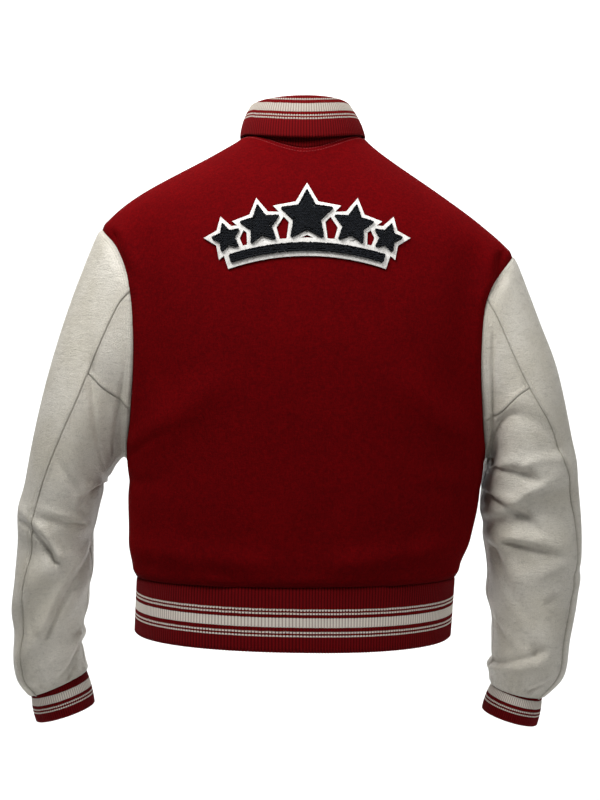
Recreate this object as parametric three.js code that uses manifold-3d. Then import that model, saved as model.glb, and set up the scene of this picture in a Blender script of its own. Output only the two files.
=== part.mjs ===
// A varsity jacket, worn and hollow, with the fronts closed and both arms hanging.
// Millimetres, +Z up. The front faces -Y, the back +Y, and the wearer's left is +X.
// The origin is the middle of the neck opening, level with the neck ends of the shoulders.
import * as THREE from 'three';
import { mergeVertices } from 'three/addons/utils/BufferGeometryUtils.js';
import Module from 'manifold-3d';

const wasm = await Module();
wasm.setup();

// Walls of each cloth, and the space left at a seam.
const WOOL_THICK = 2.8;
const LEATHER_THICK = 2.2;
const RIB_THICK = 2.6;
const FELT_THICK = 1.5;
const CHENILLE_THICK = 3.4;
const SEAM_GAP = 0.3;
const DEGREE = Math.PI / 180;

// Body: every level is a rounded oblong, |x / wide|^n + |y / deep|^n = 1.
const BODY_ROUNDNESS = 2.3;
const HEM_LEVEL = -562;
const BODY_DEPTHS = [
  { z: 0, back: 58, front: 62 },
  { z: -26, back: 73, front: 82 },
  { z: -78, back: 98, front: 104 },
  { z: -117, back: 112, front: 112 },
  { z: -152, back: 120, front: 116 },
  { z: -250, back: 130, front: 122 },
  { z: -330, back: 130, front: 126 },
  { z: -415, back: 127, front: 128 },
  { z: -467, back: 125, front: 128 },
  { z: -520, back: 121, front: 124 },
  { z: HEM_LEVEL, back: 117, front: 120 },
];
const BODY_HALF_WIDTHS = {
  left: [
    { z: 0, wide: 78 },
    { z: -26, wide: 123 },
    { z: -78, wide: 218 },
    { z: -117, wide: 262 },
    { z: -150, wide: 275 },
    { z: -190, wide: 277 },
    { z: -266, wide: 264 },
    { z: -340, wide: 244 },
    { z: -390, wide: 231 },
    { z: -415, wide: 227 },
    { z: -440, wide: 227 },
    { z: -467, wide: 228 },
    { z: -520, wide: 226 },
    { z: -545, wide: 223 },
    { z: HEM_LEVEL, wide: 220 },
  ],
  right: [
    { z: 0, wide: 74 },
    { z: -26, wide: 105 },
    { z: -78, wide: 179 },
    { z: -117, wide: 231 },
    { z: -152, wide: 267.5 },
    { z: -185, wide: 281 },
    { z: -215, wide: 282 },
    { z: -278, wide: 270 },
    { z: -350, wide: 248 },
    { z: -395, wide: 233 },
    { z: -415, wide: 229 },
    { z: -440, wide: 227 },
    { z: -467, wide: 224 },
    { z: -494, wide: 218.5 },
    { z: -520, wide: 210 },
    { z: -545, wide: 201 },
    { z: HEM_LEVEL, wide: 196.5 },
  ],
};

// Armholes: the seam's x at each share of the way down from the shoulder tip to the underarm.
const ARMHOLE_SPAN = { left: { top: -117, bottom: -415 }, right: { top: -152, bottom: -415 } };
const ARMHOLE_EDGE = [
  { down: 0, left: 262, right: 267.5 },
  { down: 0.1, left: 238, right: 247 },
  { down: 0.25, left: 219, right: 224.5 },
  { down: 0.5, left: 212.5, right: 217.6 },
  { down: 0.75, left: 217, right: 221 },
  { down: 1, left: 227, right: 229 },
];
const RING_ROUNDNESS = 0.9;

// Neck seam in plan, and the lap of the fronts at the middle: the left front lies on top.
const NECK = { left: 78, right: 74, back: 72, front: 105 };
const FRONT_LAP = 14;
const LAP_LIFT = WOOL_THICK + 1;
const LAP_RAMP = { from: 77, to: 42 };

// Rows and columns of the body panels.
const HEM_ROWS = 5;
const SHOULDER_ROWS = 4;
const BACK_COLUMNS = 20;
const FRONT_COLUMNS = 10;
const FRONT_ARMHOLE_ROWS = 10;
const TOP_BACK_COLUMNS = 4;
const GUSSET_COLUMNS = 4;
const UNDER_COLUMNS = 6;

// Soft folds in the body, from one spot to another as seen square on; depth is outwards.
const BODY_FOLDS = [
  { face: 'back', x: 196, z: -150, toX: 184, toZ: -300, width: 26, depth: -5 },
  { face: 'back', x: -204, z: -180, toX: -190, toZ: -310, width: 26, depth: -5 },
  { face: 'back', x: 205, z: -395, toX: 120, toZ: -330, width: 22, depth: 4 },
  { face: 'back', x: -205, z: -400, toX: -130, toZ: -330, width: 22, depth: 4 },
  { face: 'back', x: 60, z: -535, toX: 200, toZ: -525, width: 16, depth: 4 },
  { face: 'back', x: -50, z: -535, toX: -185, toZ: -520, width: 16, depth: 5 },
  { face: 'front', x: 196, z: -160, toX: 184, toZ: -300, width: 26, depth: -4 },
  { face: 'front', x: -200, z: -190, toX: -188, toZ: -310, width: 26, depth: -4 },
  { face: 'front', x: 205, z: -395, toX: 120, toZ: -340, width: 22, depth: 4 },
  { face: 'front', x: -205, z: -400, toX: -125, toZ: -345, width: 22, depth: 4 },
  { face: 'front', x: 75, z: -530, toX: 200, toZ: -528, width: 16, depth: 4 },
  { face: 'front', x: -75, z: -530, toX: -185, toZ: -522, width: 16, depth: 4 },
];

// Sleeves: ring by ring, the outermost and innermost spots seen square on, the half depth,
// the share of the armhole's bow, how far the middle lies forward, and the back seam's angle.
// Angles on a ring: 0 outermost, 90 at the back, 180 under the arm, -90 at the front.
const SLEEVE_RINGS = {
  left: [
    { ring: 0, outX: 262, outZ: -117, inX: 227, inZ: -415, deep: 80, bow: 1, forward: 0, seam: 65.4 },
    { ring: 1, outX: 270, outZ: -130, inX: 236, inZ: -412, deep: 81, bow: 0.75, forward: 0, seam: 70 },
    { ring: 2, outX: 293, outZ: -188, inX: 246, inZ: -417, deep: 84, bow: 0.45, forward: 0, seam: 77 },
    { ring: 3, outX: 311, outZ: -240, inX: 254, inZ: -428, deep: 86, bow: 0.2, forward: 0, seam: 83 },
    { ring: 4, outX: 329, outZ: -300, inX: 260, inZ: -443, deep: 85, bow: 0.05, forward: 1, seam: 82 },
    { ring: 5, outX: 344, outZ: -360, inX: 265, inZ: -462, deep: 82, bow: 0, forward: 2, seam: 75 },
    { ring: 6, outX: 356, outZ: -416, inX: 271, inZ: -485, deep: 78, bow: 0, forward: 4, seam: 66 },
    { ring: 7, outX: 365, outZ: -468, inX: 275, inZ: -512, deep: 72, bow: 0, forward: 7, seam: 57 },
    { ring: 8, outX: 373, outZ: -525, inX: 280, inZ: -545, deep: 68, bow: 0, forward: 11, seam: 51 },
    { ring: 9, outX: 378, outZ: -580.6, inX: 287, inZ: -583, deep: 65, bow: 0, forward: 16, seam: 46 },
    { ring: 10, outX: 378, outZ: -629, inX: 293, inZ: -622, deep: 62, bow: 0, forward: 21, seam: 43 },
    { ring: 11, outX: 382, outZ: -667, inX: 296, inZ: -653, deep: 60, bow: 0, forward: 26, seam: 42 },
    { ring: 12, outX: 379, outZ: -704, inX: 292.5, inZ: -680, deep: 54, bow: 0, forward: 31, seam: 40 },
    { ring: 13, outX: 364, outZ: -728, inX: 289, inZ: -697, deep: 44, bow: 0, forward: 34, seam: 39 },
  ],
  right: [
    { ring: 0, outX: 267.5, outZ: -152, inX: 229, inZ: -415, deep: 80, bow: 1, forward: 0, seam: 58 },
    { ring: 1, outX: 274, outZ: -164, inX: 238, inZ: -411, deep: 81, bow: 0.75, forward: 0, seam: 66 },
    { ring: 2, outX: 288, outZ: -200, inX: 240, inZ: -416, deep: 84, bow: 0.45, forward: 0, seam: 74 },
    { ring: 3, outX: 303, outZ: -240, inX: 236, inZ: -428, deep: 86, bow: 0.2, forward: 0, seam: 76 },
    { ring: 4, outX: 322, outZ: -290, inX: 231.5, inZ: -445, deep: 85, bow: 0.05, forward: 0, seam: 70 },
    { ring: 5, outX: 335.5, outZ: -345, inX: 229.5, inZ: -466, deep: 82, bow: 0, forward: 1, seam: 57 },
    { ring: 6, outX: 346, outZ: -400, inX: 229, inZ: -488, deep: 78, bow: 0, forward: 3, seam: 43 },
    { ring: 7, outX: 354, outZ: -450, inX: 232, inZ: -512, deep: 72, bow: 0, forward: 5, seam: 26 },
    { ring: 8, outX: 358.5, outZ: -505, inX: 237, inZ: -540, deep: 68, bow: 0, forward: 8, seam: 23 },
    { ring: 9, outX: 357.5, outZ: -555, inX: 241, inZ: -575, deep: 65, bow: 0, forward: 10, seam: 27 },
    { ring: 10, outX: 353.5, outZ: -602, inX: 244.5, inZ: -610, deep: 62, bow: 0, forward: 13, seam: 29 },
    { ring: 11, outX: 345.5, outZ: -648, inX: 248, inZ: -645, deep: 60, bow: 0, forward: 15, seam: 32 },
    { ring: 12, outX: 338, outZ: -697, inX: 243, inZ: -683, deep: 54, bow: 0, forward: 18, seam: 31 },
    { ring: 13, outX: 313, outZ: -725, inX: 244, inZ: -711, deep: 44, bow: 0, forward: 20, seam: 30 },
  ],
};
const SLEEVE_ROWS = 14;
const GUSSET_ROWS = 4;
const GUSSET_END = 0.9;
const CROSS_SEAM = { left: { ring: 2.6, armholeAngle: 123 }, right: { ring: 3.1, armholeAngle: 130 } };

// Soft folds in the sleeves, from one ring and angle to another; depth is outwards.
const RING_PITCH = 46;
const RING_ARC = 1.15;
const SLEEVE_FOLDS = {
  left: [
    { ring: 0.4, angle: 145, toRing: 2, toAngle: 98, width: 18, depth: -4 },
    { ring: 7.2, angle: 20, toRing: 7.6, toAngle: 130, width: 21, depth: 5 },
    { ring: 7.9, angle: 60, toRing: 7.3, toAngle: 160, width: 19, depth: -6 },
    { ring: 9.6, angle: 25, toRing: 8.2, toAngle: 100, width: 21, depth: 5 },
    { ring: 8.6, angle: 175, toRing: 11, toAngle: 60, width: 23, depth: 5 },
    { ring: 11, angle: 160, toRing: 11.9, toAngle: 70, width: 20, depth: 4 },
    { ring: 7.6, angle: -40, toRing: 7, toAngle: -140, width: 20, depth: -5 },
    { ring: 9.6, angle: -170, toRing: 8.4, toAngle: -70, width: 22, depth: 5 },
    { ring: 11.6, angle: -40, toRing: 11, toAngle: -140, width: 21, depth: 5 },
  ],
  right: [
    { ring: 6.4, angle: 150, toRing: 7, toAngle: 60, width: 20, depth: -6 },
    { ring: 6, angle: 130, toRing: 6.2, toAngle: 45, width: 21, depth: 5 },
    { ring: 7.2, angle: 140, toRing: 8.1, toAngle: 70, width: 21, depth: 5 },
    { ring: 8.7, angle: 135, toRing: 8.8, toAngle: 55, width: 20, depth: 4 },
    { ring: 9.6, angle: 130, toRing: 10.9, toAngle: 80, width: 22, depth: 5 },
    { ring: 11.6, angle: 140, toRing: 11.7, toAngle: 60, width: 20, depth: 4 },
    { ring: 7.2, angle: -50, toRing: 6.6, toAngle: -150, width: 20, depth: -5 },
    { ring: 9.4, angle: -165, toRing: 8.4, toAngle: -70, width: 22, depth: 5 },
    { ring: 11.4, angle: -45, toRing: 11, toAngle: -140, width: 21, depth: 5 },
  ],
};

// Cuffs: the end ring, and how far the cuff's top sits inside the leather.
const CUFF_ENDS = {
  left: { outX: 357, outZ: -763, inX: 281, inZ: -741, deep: 38, forward: 40 },
  right: { outX: 305, outZ: -763, inX: 234, inZ: -744, deep: 38, forward: 23 },
};
const CUFF_INSET = 2.4;
const CUFF_RIBS = 48;
const CUFF_ROWS = 2;

// Waistband below the hem level. Its free edge lifts at the wearer's left and dips at the back.
const BAND_WIDTHS = [
  { z: HEM_LEVEL, left: 217, right: 193.5, back: 114.5, front: 117.5 },
  { z: -638, left: 220, right: 188, back: 112.5, front: 114.5 },
];
const BAND_SWING = { all: 3.5, left: 2.5, back: -6.5 };
const BAND_RIBS = 216;
const RIB_RELIEF = 0.4;
const COARSE_SHARE = 4;

// Collar in plan: the middle of the turned top, and the lower edge of the turned-down part.
const COLLAR_FOLD = {
  middle: 6, side: 63, back: 62, front: 84, zSide: 38.5, zBack: 38.5, zFront: -38, fall: 2.6,
};
const COLLAR_EDGE = {
  middle: 3, side: 81, back: 78, front: 118, zSide: 2, zBack: -13, zFront: -90, fall: 4,
};
const COLLAR_RIBS = 84;
const COLLAR_END_GAP = 2.5;
const COLLAR_TURN = 3.4;
const COLLAR_SEAM_GAP = 0.5;
const COLLAR_CLEARANCE = 4.5;
const LEAF_ROLL = 2.5;
const LAP_CLEARANCE = 2.4;

// Applique on the back: stars in an arc over a curved bar, on one felt backing.
const PATCH = { x: -2, z: -160, arc: 300, barHalfAngle: 17.5, barHeight: 10, starSpace: 5 };
const PATCH_STARS = [
  { angle: -16.9, size: 19 },
  { angle: -9.5, size: 26 },
  { angle: 0, size: 34 },
  { angle: 9.5, size: 26 },
  { angle: 16.9, size: 19 },
];
const STAR_POINTS = 5;
const STAR_WAIST = 0.5;
const FELT_BORDER = 6;
const FELT_LIFT = 0.6;
const PATCH_REFINE = 27;

// Snap fasteners down the middle of the left front, and the one on the waistband.
const SNAP = { radius: 7.5, height: 2.5, segments: 12, first: -110, pitch: 87, count: 6, band: -600 };
const SNAP_LIFT = 0.55;

const WOOL_MATERIAL = { color: 0x7d0d10, roughness: 0.95, metalness: 0 };
const RIB_MATERIAL = { color: 0x86161a, roughness: 0.9, metalness: 0 };
const LEATHER_MATERIAL = { color: 0xcfcabd, roughness: 0.55, metalness: 0 };
const FELT_MATERIAL = { color: 0xe8e6e0, roughness: 0.95, metalness: 0 };
const CHENILLE_MATERIAL = { color: 0x111317, roughness: 1, metalness: 0 };
const SNAP_MATERIAL = { color: 0xd9d6cc, roughness: 0.35, metalness: 0.2 };

const { lerp, clamp, smoothstep } = THREE.MathUtils;
const MIDDLE_FRONT = 1.5 * Math.PI;
const PAST_MIDDLE = 0.05;
const jacket = new THREE.Group();

// Smooth value of a table's column at a place along its key column.
function valueAt(table, key, column, place) {
  const last = table.length - 1;
  const way = Math.sign(table[last][key] - table[0][key]);
  let low = 0;
  while (low < last - 1 && way * (place - table[low + 1][key]) > 0) {
    low += 1;
  }
  const slope = (index) => {
    const before = table[Math.max(index - 1, 0)];
    const after = table[Math.min(index + 1, last)];
    return (after[column] - before[column]) / (after[key] - before[key]);
  };
  const start = table[low];
  const end = table[low + 1];
  const length = end[key] - start[key];
  const t = (place - start[key]) / length;
  const towardsEnd = t * t * (3 - 2 * t);
  const leaving = t * (1 - t) * (1 - t) * length * slope(low);
  const arriving = t * t * (t - 1) * length * slope(low + 1);
  return lerp(start[column], end[column], towardsEnd) + leaving + arriving;
}

// Soft bump along a line from (u, v) to (toU, toV), fading out at both ends.
function foldHeight(u, v, fold) {
  const alongU = fold.toU - fold.u;
  const alongV = fold.toV - fold.v;
  const length = Math.hypot(alongU, alongV);
  const along = ((u - fold.u) * alongU + (v - fold.v) * alongV) / length;
  const beside = ((u - fold.u) * alongV - (v - fold.v) * alongU) / length;
  const past = Math.max(-along, along - length, 0);
  return fold.depth * Math.exp(-((beside / fold.width) ** 2) - (past / fold.width) ** 2);
}

const BODY_CREASES = BODY_FOLDS.map((fold) => ({
  ...fold, u: fold.x, v: fold.z, toU: fold.toX, toV: fold.toZ,
}));

function bodyRelief(x, z, face) {
  const onFace = BODY_CREASES.filter((fold) => fold.face === face);
  return onFace.reduce((sum, fold) => sum + foldHeight(x, z, fold), 0);
}

// The body's oblong at a level, as if the armholes were filled in.
function bodySection(angle, z) {
  const face = Math.sin(angle) >= 0 ? 'back' : 'front';
  const side = Math.cos(angle) >= 0 ? 'left' : 'right';
  const deep = valueAt(BODY_DEPTHS, 'z', face, z);
  return { face, side, deep, wide: valueAt(BODY_HALF_WIDTHS[side], 'z', 'wide', z) };
}

// Spot on the body's outer surface, at an angle from the wearer's left round by the back.
function bodyPoint(angle, z) {
  const { face, deep, wide } = bodySection(angle, z);
  return oblongPoint(angle, z, wide, deep, (x) => bodyRelief(x, z, face));
}

function oblongPoint(angle, z, wide, deep, relief) {
  const c = Math.cos(angle);
  const s = Math.sin(angle);
  const size = (Math.abs(c) ** BODY_ROUNDNESS + Math.abs(s) ** BODY_ROUNDNESS) ** (1 / BODY_ROUNDNESS);
  const point = new THREE.Vector3((wide * c) / size, (deep * s) / size, z);
  const outwards = new THREE.Vector3(c / wide, s / deep, 0).normalize();
  return point.addScaledVector(outwards, relief(point.x));
}

// Outward direction of a surface that is given by a function of two values.
function surfaceNormal(surface, u, v, stepU, stepV) {
  const acrossU = surface(u + stepU, v).sub(surface(u - stepU, v));
  const acrossV = surface(u, v + stepV).sub(surface(u, v - stepV));
  return acrossU.cross(acrossV).normalize();
}

function bodyNormal(angle, z) {
  return surfaceNormal(bodyPoint, angle, z, 0.01, 2);
}

// Height of the body's shoulder surface over a spot in plan.
function shoulderHeight(x, y) {
  let low = -160;
  let high = 6;
  const outside = (z) => {
    const { wide, deep } = bodySection(Math.atan2(y, x), z);
    return (Math.abs(x) / wide) ** BODY_ROUNDNESS + (Math.abs(y) / deep) ** BODY_ROUNDNESS > 1;
  };
  for (let step = 0; step < 40; step += 1) {
    const middle = (low + high) / 2;
    if (outside(middle)) {
      high = middle;
    } else {
      low = middle;
    }
  }
  return low;
}

function angleOnBody(x, y, z) {
  const { wide, deep } = bodySection(Math.atan2(y, x), z);
  const angle = Math.atan2(y / deep, x / wide);
  return angle < 0 ? angle + 2 * Math.PI : angle;
}

// Neck seam at a plan angle: its place on the body's surface.
function neckSpot(planAngle) {
  const x = Math.cos(planAngle) * (Math.cos(planAngle) >= 0 ? NECK.left : NECK.right);
  const y = Math.sin(planAngle) * (Math.sin(planAngle) >= 0 ? NECK.back : NECK.front);
  const z = shoulderHeight(x, y);
  return { angle: Math.abs(y) < 1e-6 ? planAngle : angleOnBody(x, y, z), z };
}

// Armhole seam at a ring angle: where its line, seen square on, lies on the body's surface.
function armholeSeam(side, ringAngle) {
  const span = ARMHOLE_SPAN[side];
  const down = (1 - Math.cos(ringAngle)) / 2;
  const z = lerp(span.top, span.bottom, down);
  const x = valueAt(ARMHOLE_EDGE, 'down', side, down);
  const hand = side === 'left' ? 1 : -1;
  const way = Math.sin(ringAngle) >= 0 ? 1 : -1;
  const { wide, deep } = bodySection(Math.atan2(way, hand), z);
  const inside = Math.max(1 - (x / wide) ** BODY_ROUNDNESS, 0);
  return { x: hand * x, y: way * deep * inside ** (1 / BODY_ROUNDNESS), z };
}

function armholeSpot(side, ringAngle) {
  const { x, y, z } = armholeSeam(side, ringAngle);
  if (Math.abs(Math.sin(ringAngle)) < 1e-6) {
    return { angle: side === 'left' ? 0 : Math.PI, z };
  }
  return { angle: angleOnBody(x, y, z), z };
}

// Ring angles of the armhole rows at the back, shared with the three sleeve pieces.
function backArmholeAngles(side) {
  const seam = SLEEVE_RINGS[side][0].seam;
  const cross = CROSS_SEAM[side].armholeAngle;
  const stretch = (from, to, count) =>
    Array.from({ length: count }, (_, index) => lerp(from, to, index / count));
  return [
    ...stretch(0, seam, TOP_BACK_COLUMNS),
    ...stretch(seam, cross, GUSSET_COLUMNS),
    ...stretch(cross, 180, UNDER_COLUMNS),
    180,
  ].map((degrees) => degrees * DEGREE);
}

function frontArmholeAngles() {
  const step = -Math.PI / FRONT_ARMHOLE_ROWS;
  return Array.from({ length: FRONT_ARMHOLE_ROWS + 1 }, (_, index) => step * index);
}

// Solids: a wall between two grids of points, closed round its edges. Rails with as many
// points as each other are joined along the shorter diagonals.
function stitch(faces, points, first, second) {
  let i = 0;
  let j = 0;
  const diagonal = (a, b) => {
    const missing = a === undefined || b === undefined;
    return missing ? Infinity : points[a].distanceTo(points[b]);
  };
  while (i < first.length - 1 || j < second.length - 1) {
    const ahead = (i + 0.5) / (first.length - 1) - (j + 0.5) / (second.length - 1);
    const level = Math.abs(ahead) < 1e-9;
    const shorter = diagonal(first[i + 1], second[j]) <= diagonal(first[i], second[j + 1]);
    if (level ? shorter : ahead < 0) {
      faces.push(first[i], first[i + 1], second[j]);
      i += 1;
    } else {
      faces.push(first[i], second[j + 1], second[j]);
      j += 1;
    }
  }
}

function wallGeometry(outerRows, innerRows, closedRound) {
  const points = [];
  const indexRow = (row) => {
    const indices = row.map((point) => points.push(point) - 1);
    return closedRound ? [...indices, indices[0]] : indices;
  };
  const outer = outerRows.map(indexRow);
  const inner = innerRows.map(indexRow);
  const rails = [...outer, ...[...inner].reverse()];
  const faces = [];
  rails.forEach((rail, index) => stitch(faces, points, rail, rails[(index + 1) % rails.length]));
  if (!closedRound) {
    stitch(faces, points, outer.map((row) => row[0]), inner.map((row) => row[0]));
    stitch(faces, points, inner.map((row) => row.at(-1)), outer.map((row) => row.at(-1)));
  }
  return geometryOf(points, faces);
}

function geometryOf(points, faces) {
  const volume = faces.reduce((sum, _, index) => {
    if (index % 3 !== 0) {
      return sum;
    }
    const [a, b, c] = [points[faces[index]], points[faces[index + 1]], points[faces[index + 2]]];
    return sum + a.dot(new THREE.Vector3().crossVectors(b, c));
  }, 0);
  const geometry = new THREE.BufferGeometry();
  const numbers = points.flatMap((point) => point.toArray());
  geometry.setAttribute('position', new THREE.Float32BufferAttribute(numbers, 3));
  geometry.setIndex(volume < 0 ? [...faces].reverse() : faces);
  return geometry;
}

function addPiece(name, geometry, material) {
  const mesh = new THREE.Mesh(geometry, new THREE.MeshStandardMaterial(material));
  mesh.name = name;
  jacket.add(mesh);
  return mesh;
}

// Edge points of a grid, moved inwards along the surface for half the seam's gap.
function trimColumn(rows, column, neighbour, from, to) {
  rows.slice(from, to + 1).forEach((row) => {
    const inwards = row.at(neighbour).clone().sub(row.at(column)).setLength(SEAM_GAP / 2);
    row.at(column).add(inwards);
  });
}

const easeCosine = (share) => (1 - Math.cos(Math.PI * share)) / 2;

// Body panels: each row is a list of spots from one edge to the other.
function rowLevels(spots, centre, share) {
  const half = spots.length === 2 ? share * 2 : share;
  if (half <= 1) {
    return lerp(spots[0].z, centre, easeCosine(half));
  }
  return lerp(centre, spots[1].z, easeCosine(half - 1));
}

function spotRow(edges, centre, columns, farAngle) {
  return Array.from({ length: columns + 1 }, (_, column) => {
    const share = column / columns;
    const angle = lerp(edges[0].angle, farAngle, share);
    return { angle, z: rowLevels(edges, centre, share) };
  });
}

function wovenRows(tipRow, neckRow) {
  return Array.from({ length: SHOULDER_ROWS }, (_, index) => {
    const share = (index + 1) / SHOULDER_ROWS;
    return tipRow.map((spot, column) => ({
      angle: lerp(spot.angle, neckRow[column].angle, share),
      z: lerp(spot.z, neckRow[column].z, share),
    }));
  });
}

function hemLevels() {
  return Array.from({ length: HEM_ROWS }, (_, index) =>
    lerp(HEM_LEVEL, ARMHOLE_SPAN.left.bottom, index / HEM_ROWS));
}

// Points of a panel from its spots: outer and inner grids, with an optional lift. The hem
// row lies level, to meet the waistband.
function panelGrids(spotRows, lift) {
  const wallNormal = ({ angle, z }) => {
    const normal = bodyNormal(angle, z);
    return z <= HEM_LEVEL ? normal.setZ(0).normalize() : normal;
  };
  const raised = (spot, height) => {
    const point = bodyPoint(spot.angle, spot.z);
    return point.addScaledVector(wallNormal(spot), lift(point.x) + height);
  };
  const outer = spotRows.map((row) => row.map((spot) => raised(spot, 0)));
  const inner = spotRows.map((row) => row.map((spot) => raised(spot, -WOOL_THICK)));
  return { outer, inner };
}

function buildBack() {
  const leftAngles = backArmholeAngles('left').reverse();
  const rightAngles = backArmholeAngles('right').reverse();
  const sideRows = hemLevels().map((z) => [{ angle: 0, z }, { angle: Math.PI, z }]);
  const armholeRows = leftAngles.map((angle, row) => [
    armholeSpot('left', angle), armholeSpot('right', rightAngles[row]),
  ]);
  const rows = [...sideRows, ...armholeRows].map((edges) =>
    spotRow(edges, (edges[0].z + edges[1].z) / 2, BACK_COLUMNS, edges[1].angle));
  const neckRow = Array.from({ length: BACK_COLUMNS + 1 }, (_, column) =>
    neckSpot((Math.PI * column) / BACK_COLUMNS));
  rows.push(...wovenRows(rows.at(-1), neckRow));
  const grids = panelGrids(rows, () => 0);
  const tipRow = sideRows.length + armholeRows.length - 1;
  [grids.outer, grids.inner].forEach((grid) => {
    [[0, 1], [-1, -2]].forEach(([column, neighbour]) => {
      trimColumn(grid, column, neighbour, 0, sideRows.length);
      trimColumn(grid, column, neighbour, tipRow, grid.length - 1);
    });
  });
  addPiece('back', wallGeometry(grids.outer, grids.inner, false), WOOL_MATERIAL);
}

// The left front is lifted onto the right one near the middle.
function frontLift(x) {
  return LAP_LIFT * (1 - smoothstep(x, LAP_RAMP.to, LAP_RAMP.from));
}

// A front's row runs from its side to the middle, and one column on to the lap's edge.
function lappedRow(hand, row, halfWidth) {
  const middle = row.at(-1);
  return [...row, { angle: MIDDLE_FRONT - hand * Math.asin(FRONT_LAP / halfWidth), z: middle.z }];
}

function buildFront(side) {
  const hand = side === 'left' ? 1 : -1;
  const sideAngle = side === 'left' ? 2 * Math.PI : Math.PI;
  const otherTop = ARMHOLE_SPAN[side === 'left' ? 'right' : 'left'].top;
  const ownTop = ARMHOLE_SPAN[side].top;
  const armholeRows = frontArmholeAngles().reverse().map((angle) => armholeSpot(side, angle));
  const edges = [...hemLevels().map((z) => ({ angle: sideAngle, z })), ...armholeRows];
  const rows = edges.map((edge) => {
    const start = Math.abs(Math.sin(edge.angle)) < 1e-6 ? sideAngle : edge.angle;
    const underarm = ARMHOLE_SPAN[side].bottom;
    const up = clamp((edge.z - underarm) / (ownTop - underarm), 0, 1);
    const centre = edge.z + (up * (otherTop - ownTop)) / 2;
    const { wide } = bodySection(MIDDLE_FRONT - hand * PAST_MIDDLE, centre);
    const row = spotRow([{ angle: start, z: edge.z }], centre, FRONT_COLUMNS, MIDDLE_FRONT);
    return lappedRow(hand, row, wide);
  });
  const neckAngles = columnsBetween(sideAngle, MIDDLE_FRONT, FRONT_COLUMNS);
  neckAngles.push(MIDDLE_FRONT - hand * Math.asin(FRONT_LAP / (hand > 0 ? NECK.right : NECK.left)));
  const neckRow = neckAngles.map((planAngle) => neckSpot(planAngle));
  neckRow[0].angle = sideAngle;
  rows.push(...wovenRows(rows.at(-1), neckRow));
  const grids = panelGrids(rows, side === 'left' ? frontLift : () => 0);
  const tipRow = HEM_ROWS + FRONT_ARMHOLE_ROWS;
  [grids.outer, grids.inner].forEach((grid) => {
    trimColumn(grid, 0, 1, 0, HEM_ROWS);
    trimColumn(grid, 0, 1, tipRow, grid.length - 1);
  });
  addPiece(`front_${side}`, wallGeometry(grids.outer, grids.inner, false), WOOL_MATERIAL);
}

// Sleeve surface at a ring and an angle round it.
function sleevePoint(side, ring, angle) {
  const table = SLEEVE_RINGS[side];
  const hand = side === 'left' ? 1 : -1;
  const at = (column) => valueAt(table, 'ring', column, ring);
  const share = (1 + Math.cos(angle)) / 2;
  const seam = armholeSeam(side, angle);
  const bow = at('bow') * (Math.abs(seam.x) - lerp(table[0].inX, table[0].outX, share));
  const x = lerp(at('inX'), at('outX'), share) + bow;
  const z = lerp(at('inZ'), at('outZ'), share);
  const round = Math.sign(Math.sin(angle)) * Math.abs(Math.sin(angle)) ** RING_ROUNDNESS;
  const y = lerp(at('deep') * round, seam.y, at('bow')) - at('forward');
  const middle = (inner, outer) => (at(inner) + at(outer)) / 2;
  const centre = new THREE.Vector3(middle('inX', 'outX'), -at('forward'), middle('inZ', 'outZ'));
  const point = new THREE.Vector3(x, y, z);
  const outwards = point.clone().sub(centre).normalize();
  point.addScaledVector(outwards, sleeveRelief(side, ring, angle));
  return point.setX(point.x * hand);
}

const SLEEVE_CREASES = Object.fromEntries(Object.entries(SLEEVE_FOLDS).map(([side, folds]) => [
  side,
  folds.map((fold) => ({
    ...fold,
    u: fold.ring * RING_PITCH,
    v: fold.angle * RING_ARC,
    toU: fold.toRing * RING_PITCH,
    toV: fold.toAngle * RING_ARC,
  })),
]));

// Folds fade out at the armhole, so that the sleeve still meets the body there.
function sleeveRelief(side, ring, angle) {
  const fade = smoothstep(ring, 0, 1);
  const turn = (angle / DEGREE) * RING_ARC;
  const round = 360 * RING_ARC;
  return fade * SLEEVE_CREASES[side].reduce((sum, fold) =>
    sum + [turn - round, turn, turn + round].reduce((part, v) =>
      part + foldHeight(ring * RING_PITCH, v, fold), 0), 0);
}

function sleeveNormal(side, ring, angle) {
  const hand = side === 'left' ? 1 : -1;
  const surface = (a, r) => sleevePoint(side, r, a);
  return surfaceNormal(surface, angle, Math.max(ring, 0.06), 0.02, 0.05).multiplyScalar(-hand);
}

// Rim of the armhole: its spot, the body's normal there and the way off the panel.
function armholeRim(side, ringAngle) {
  const hand = side === 'left' ? 1 : -1;
  const rimPoint = (angle) => {
    const spot = armholeSpot(side, angle);
    return bodyPoint(spot.angle, spot.z);
  };
  const spot = armholeSpot(side, ringAngle);
  const normal = bodyNormal(spot.angle, spot.z);
  const along = rimPoint(ringAngle + 0.02).sub(rimPoint(ringAngle - 0.02));
  const away = new THREE.Vector3().crossVectors(normal, along).normalize().multiplyScalar(-hand);
  return { point: bodyPoint(spot.angle, spot.z), normal, away };
}

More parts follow.
